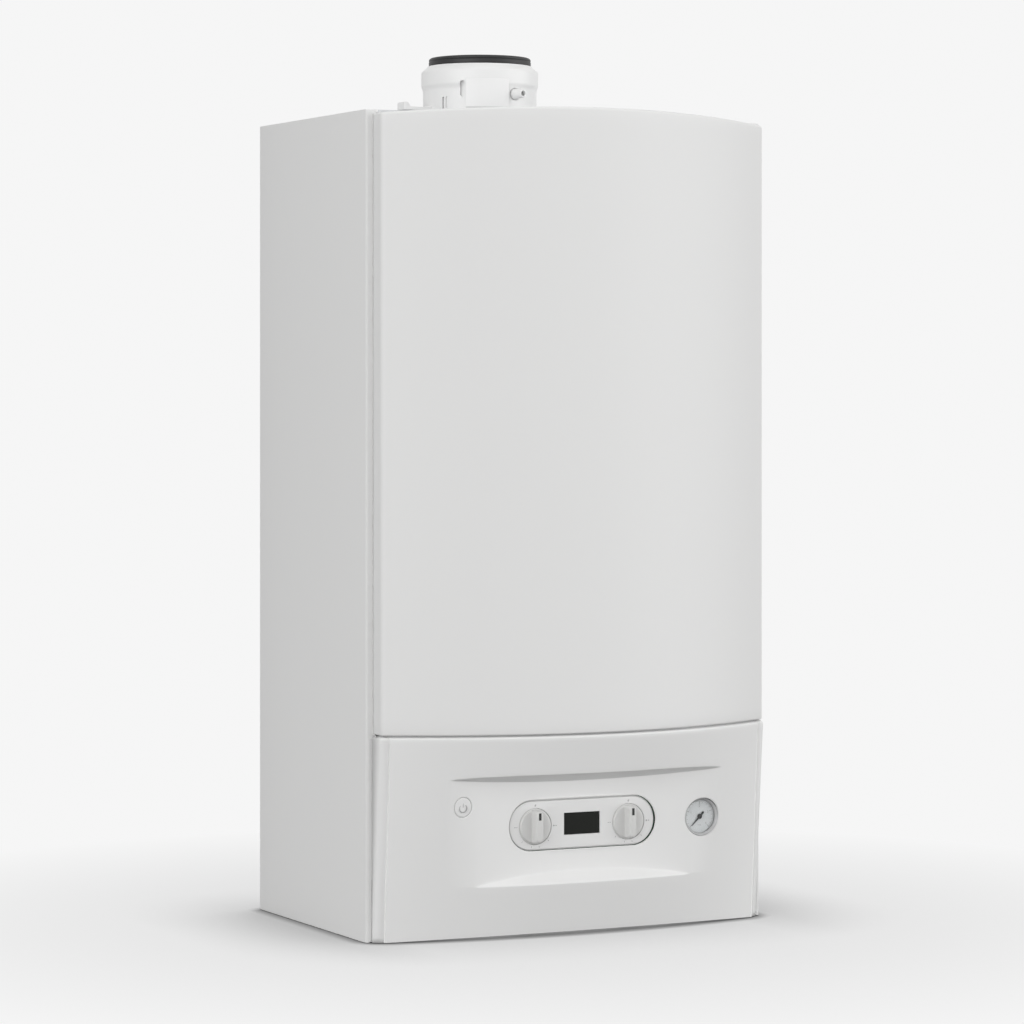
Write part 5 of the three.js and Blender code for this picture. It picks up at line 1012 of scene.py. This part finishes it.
# Each ring stands square to the route, and its first side is carried on from ring to ring without twist
def makePipe(node, corners, radius, bend, count=28):
    line = toFrame(roundCorners(corners, [0] + [bend] * (len(corners) - 2) + [0], 12))
    tangents = np.gradient(line, axis=0)
    tangents /= np.linalg.norm(tangents, axis=1, keepdims=True)
    side = np.cross(tangents[0], (0.0, 1.0, 0.2))
    across, up = np.cos(circle(count))[:, None], np.sin(circle(count))[:, None]
    points = []
    for centre, tangent in zip(line, tangents):
        side = side - tangent * np.dot(side, tangent)
        side /= np.linalg.norm(side)
        points += (centre + radius * mm * (across * side + up * np.cross(tangent, side))).tolist()
    mesh = bpy.data.meshes.new(node)
    mesh.from_pydata(points, [], gridFaces(len(line), count, wrap=True, caps=(0, -1)))
    piece = newObject(f"{node}_round", tidyMesh(mesh, 50), "casing", nodeSlots[node])
    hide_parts(node)


for pipeNode, route in pipes.items():
    makePipe(pipeNode, *route)
print("pipes done")

# Every other node keeps its shape, with merged, smoothly shaded and softly bevelled edges

bodyOf = {node: body for body, nodes in frame["record"]["behaviour"]["bodies"].items() for node in nodes}
redone = {
    "front_cover", "control_fascia", "control_bezel", "heating_knob", "hot_water_knob", "display_window",
    "power_button", "gauge_housing", "gauge_dial", "gauge_needle", "gauge_lens", "flue_adaptor", "flue_seal",
    "inner_flue_pipe", *pipes,
}
bevels = {"left_side_panel": 0.35, "right_side_panel": 0.35, "top_plate": 0.4, "bottom_plate": 0.4,
          "back_plate": 0.3, "burner_door": 0.9, "heat_exchanger": 0.5, "electronics_box": 0.5,
          "gas_valve": 0.9, "fan_housing": 0.8, "expansion_vessel": 0.0}


def softCopy(node, source):
    mesh = source.data.copy()
    mesh.transform(source.matrix_world)
    tidyMesh(mesh, angle=32, merge=2e-6, flat=0.6)
    piece = newObject(f"{node}_soft", mesh, bodyOf[node], nodeSlots[node])
    width = bevels.get(node, 0.4)
    if width > 0:
        addBevel(piece, width, 40)
    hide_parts(node)


for node, source in frame["nodes"].items():
    if node not in redone:
        softCopy(node, source)
    source.data.materials.clear()
    source.data.materials.append(materials[slotLook(nodeSlots[node])])
print("inner pieces done")

# Pale floor that fades into the white background, studio light; these sizes are in metres

studio = {
    "floorSize": 9.0, "floorDrop": 0.0004, "backdrop": 0.92, "near": 0.25, "far": 0.75, "floor": 0.85,
    "wash": 0.7, "nearReach": 0.014, "wideReach": 0.14, "nearPower": 2.0, "besideFrom": 0.17, "besideSpan": 0.05,
    "frontShare": 0.4, "dim": 0.28, "ambient": 0.44, "sunAngle": 50,
    "sides": ((1.46, (-8.4, -5.3, 2.05)), (1.28, (8.4, -5.3, 2.05))), "overhead": (0.42, (0.0, -0.8, 9.0)),
    "key": 6.5, "keySize": (2.4, 1.8), "keyPlace": (0.0, -2.0, 1.3), "aim": (0.0, 0.0, 0.45),
}


def grey(value):
    return (value, value, value, 1)


floorMesh = bpy.data.meshes.new("floor")
half = studio["floorSize"] / 2
floorCorners = [(-half, -half, 0), (half, -half, 0), (half, half, 0), (-half, half, 0)]
floorMesh.from_pydata(floorCorners, [], [(0, 1, 2, 3)])
floor = addObject("floor", floorMesh)
floor.location = (0, 0, -studio["floorDrop"])
floorMaterial = bpy.data.materials.new("floor")
floorMaterial.use_nodes = True
floorTree = floorMaterial.node_tree
floorTree.nodes.clear()
place = Term(floorTree).node("TexCoord", output=3)
distance = place.node("VectorMath", {0: place}, output=1, operation="LENGTH")
fade = ((distance - studio["near"]) / (studio["far"] - studio["near"])).clamp()
# Near the object the floor darkens where it is hidden from the room: a thin dark line and a wide soft shade
nearShade = place.node("AmbientOcclusion", {"Distance": studio["nearReach"]}, output=1)
wideShade = place.node("AmbientOcclusion", {"Distance": studio["wideReach"]}, output=1)
# The wide shade is full beside the object and slight in front of it, where the light comes from
across = place.node("SeparateXYZ", {0: place}).maths("ABSOLUTE")
beside = ((across - studio["besideFrom"]) / studio["besideSpan"]).clamp()
wideShare = beside * (1 - studio["frontShare"]) + studio["frontShare"]
openness = nearShade.power(studio["nearPower"]) * wideShade.power(wideShare)
diffuse = place.node("BsdfDiffuse", {"Color": grey(studio["floor"])})
wash = place.node("Emission", {"Color": grey(1), "Strength": openness * studio["backdrop"]})
paper = place.node("MixShader", {0: studio["wash"], 1: diffuse, 2: wash})
glow = place.node("Emission", {"Color": grey(studio["backdrop"]), "Strength": 1.0})
pale = place.node("MixShader", {0: fade, 1: paper, 2: glow})
# The eye, gloss and glass see the pale floor, while the light that it sends back to the object is low
dim = place.node("BsdfDiffuse", {"Color": grey(studio["dim"])})


def seenBy(tree):
    eye, gloss, glass = (Term(tree).node("LightPath", output=f"Is {ray} Ray")
                         for ray in ("Camera", "Glossy", "Transmission"))
    return (eye + gloss + glass).clamp()


mixed = place.node("MixShader", {0: seenBy(floorTree), 1: dim, 2: pale})
place.node("OutputMaterial", {"Surface": mixed})
floorMesh.materials.append(floorMaterial)

world = bpy.data.worlds.new("studio")
bpy.context.scene.world = world
world.use_nodes = True
worldTree = world.node_tree
worldTree.nodes.clear()
rays = seenBy(worldTree)
lit = rays.node("Background", {"Color": grey(1), "Strength": studio["ambient"]})
seen = rays.node("Background", {"Color": grey(studio["backdrop"]), "Strength": 1.0})
backdrop = rays.node("MixShader", {0: rays, 1: lit, 2: seen})
rays.node("OutputWorld", {"Surface": backdrop})


def addLight(name, data, place):
    lamp = addObject(name, data)
    lamp.location = place
    lamp.rotation_euler = (Vector(studio["aim"]) - Vector(place)).to_track_quat("-Z", "Y").to_euler()
    return lamp


keyData = bpy.data.lights.new("key", "AREA")
keyData.shape = "RECTANGLE"
keyData.size, keyData.size_y = studio["keySize"]
keyData.energy = studio["key"]
addLight("key", keyData, studio["keyPlace"])


def exempt(name, members):
    collection = bpy.data.collections.new(name)
    for member in members:
        collection.objects.link(member)
    for entry in collection.collection_objects:
        entry.light_linking.link_state = "EXCLUDE"
    return collection


# Two broad side lights and a faint one overhead neither light the floor nor end at it. The fascia's ledges
# throw no shade on its band, and the cover takes no overhead light away from them.
unlit = exempt("unlit", [floor])
sideBlockers = exempt("side_blockers", [fasciaPiece, floor])
topBlockers = exempt("top_blockers", [fasciaPiece, floor, coverPiece])
suns = [(*entry, sideBlockers) for entry in studio["sides"]] + [(*studio["overhead"], topBlockers)]
for energy, sunPlace, blockers in suns:
    sunData = bpy.data.lights.new("sun", "SUN")
    sunData.energy = energy
    sunData.angle = math.radians(studio["sunAngle"])
    sun = addLight("sun", sunData, sunPlace)
    sun.light_linking.receiver_collection = unlit
    sun.light_linking.blocker_collection = blockers
print("stage done")
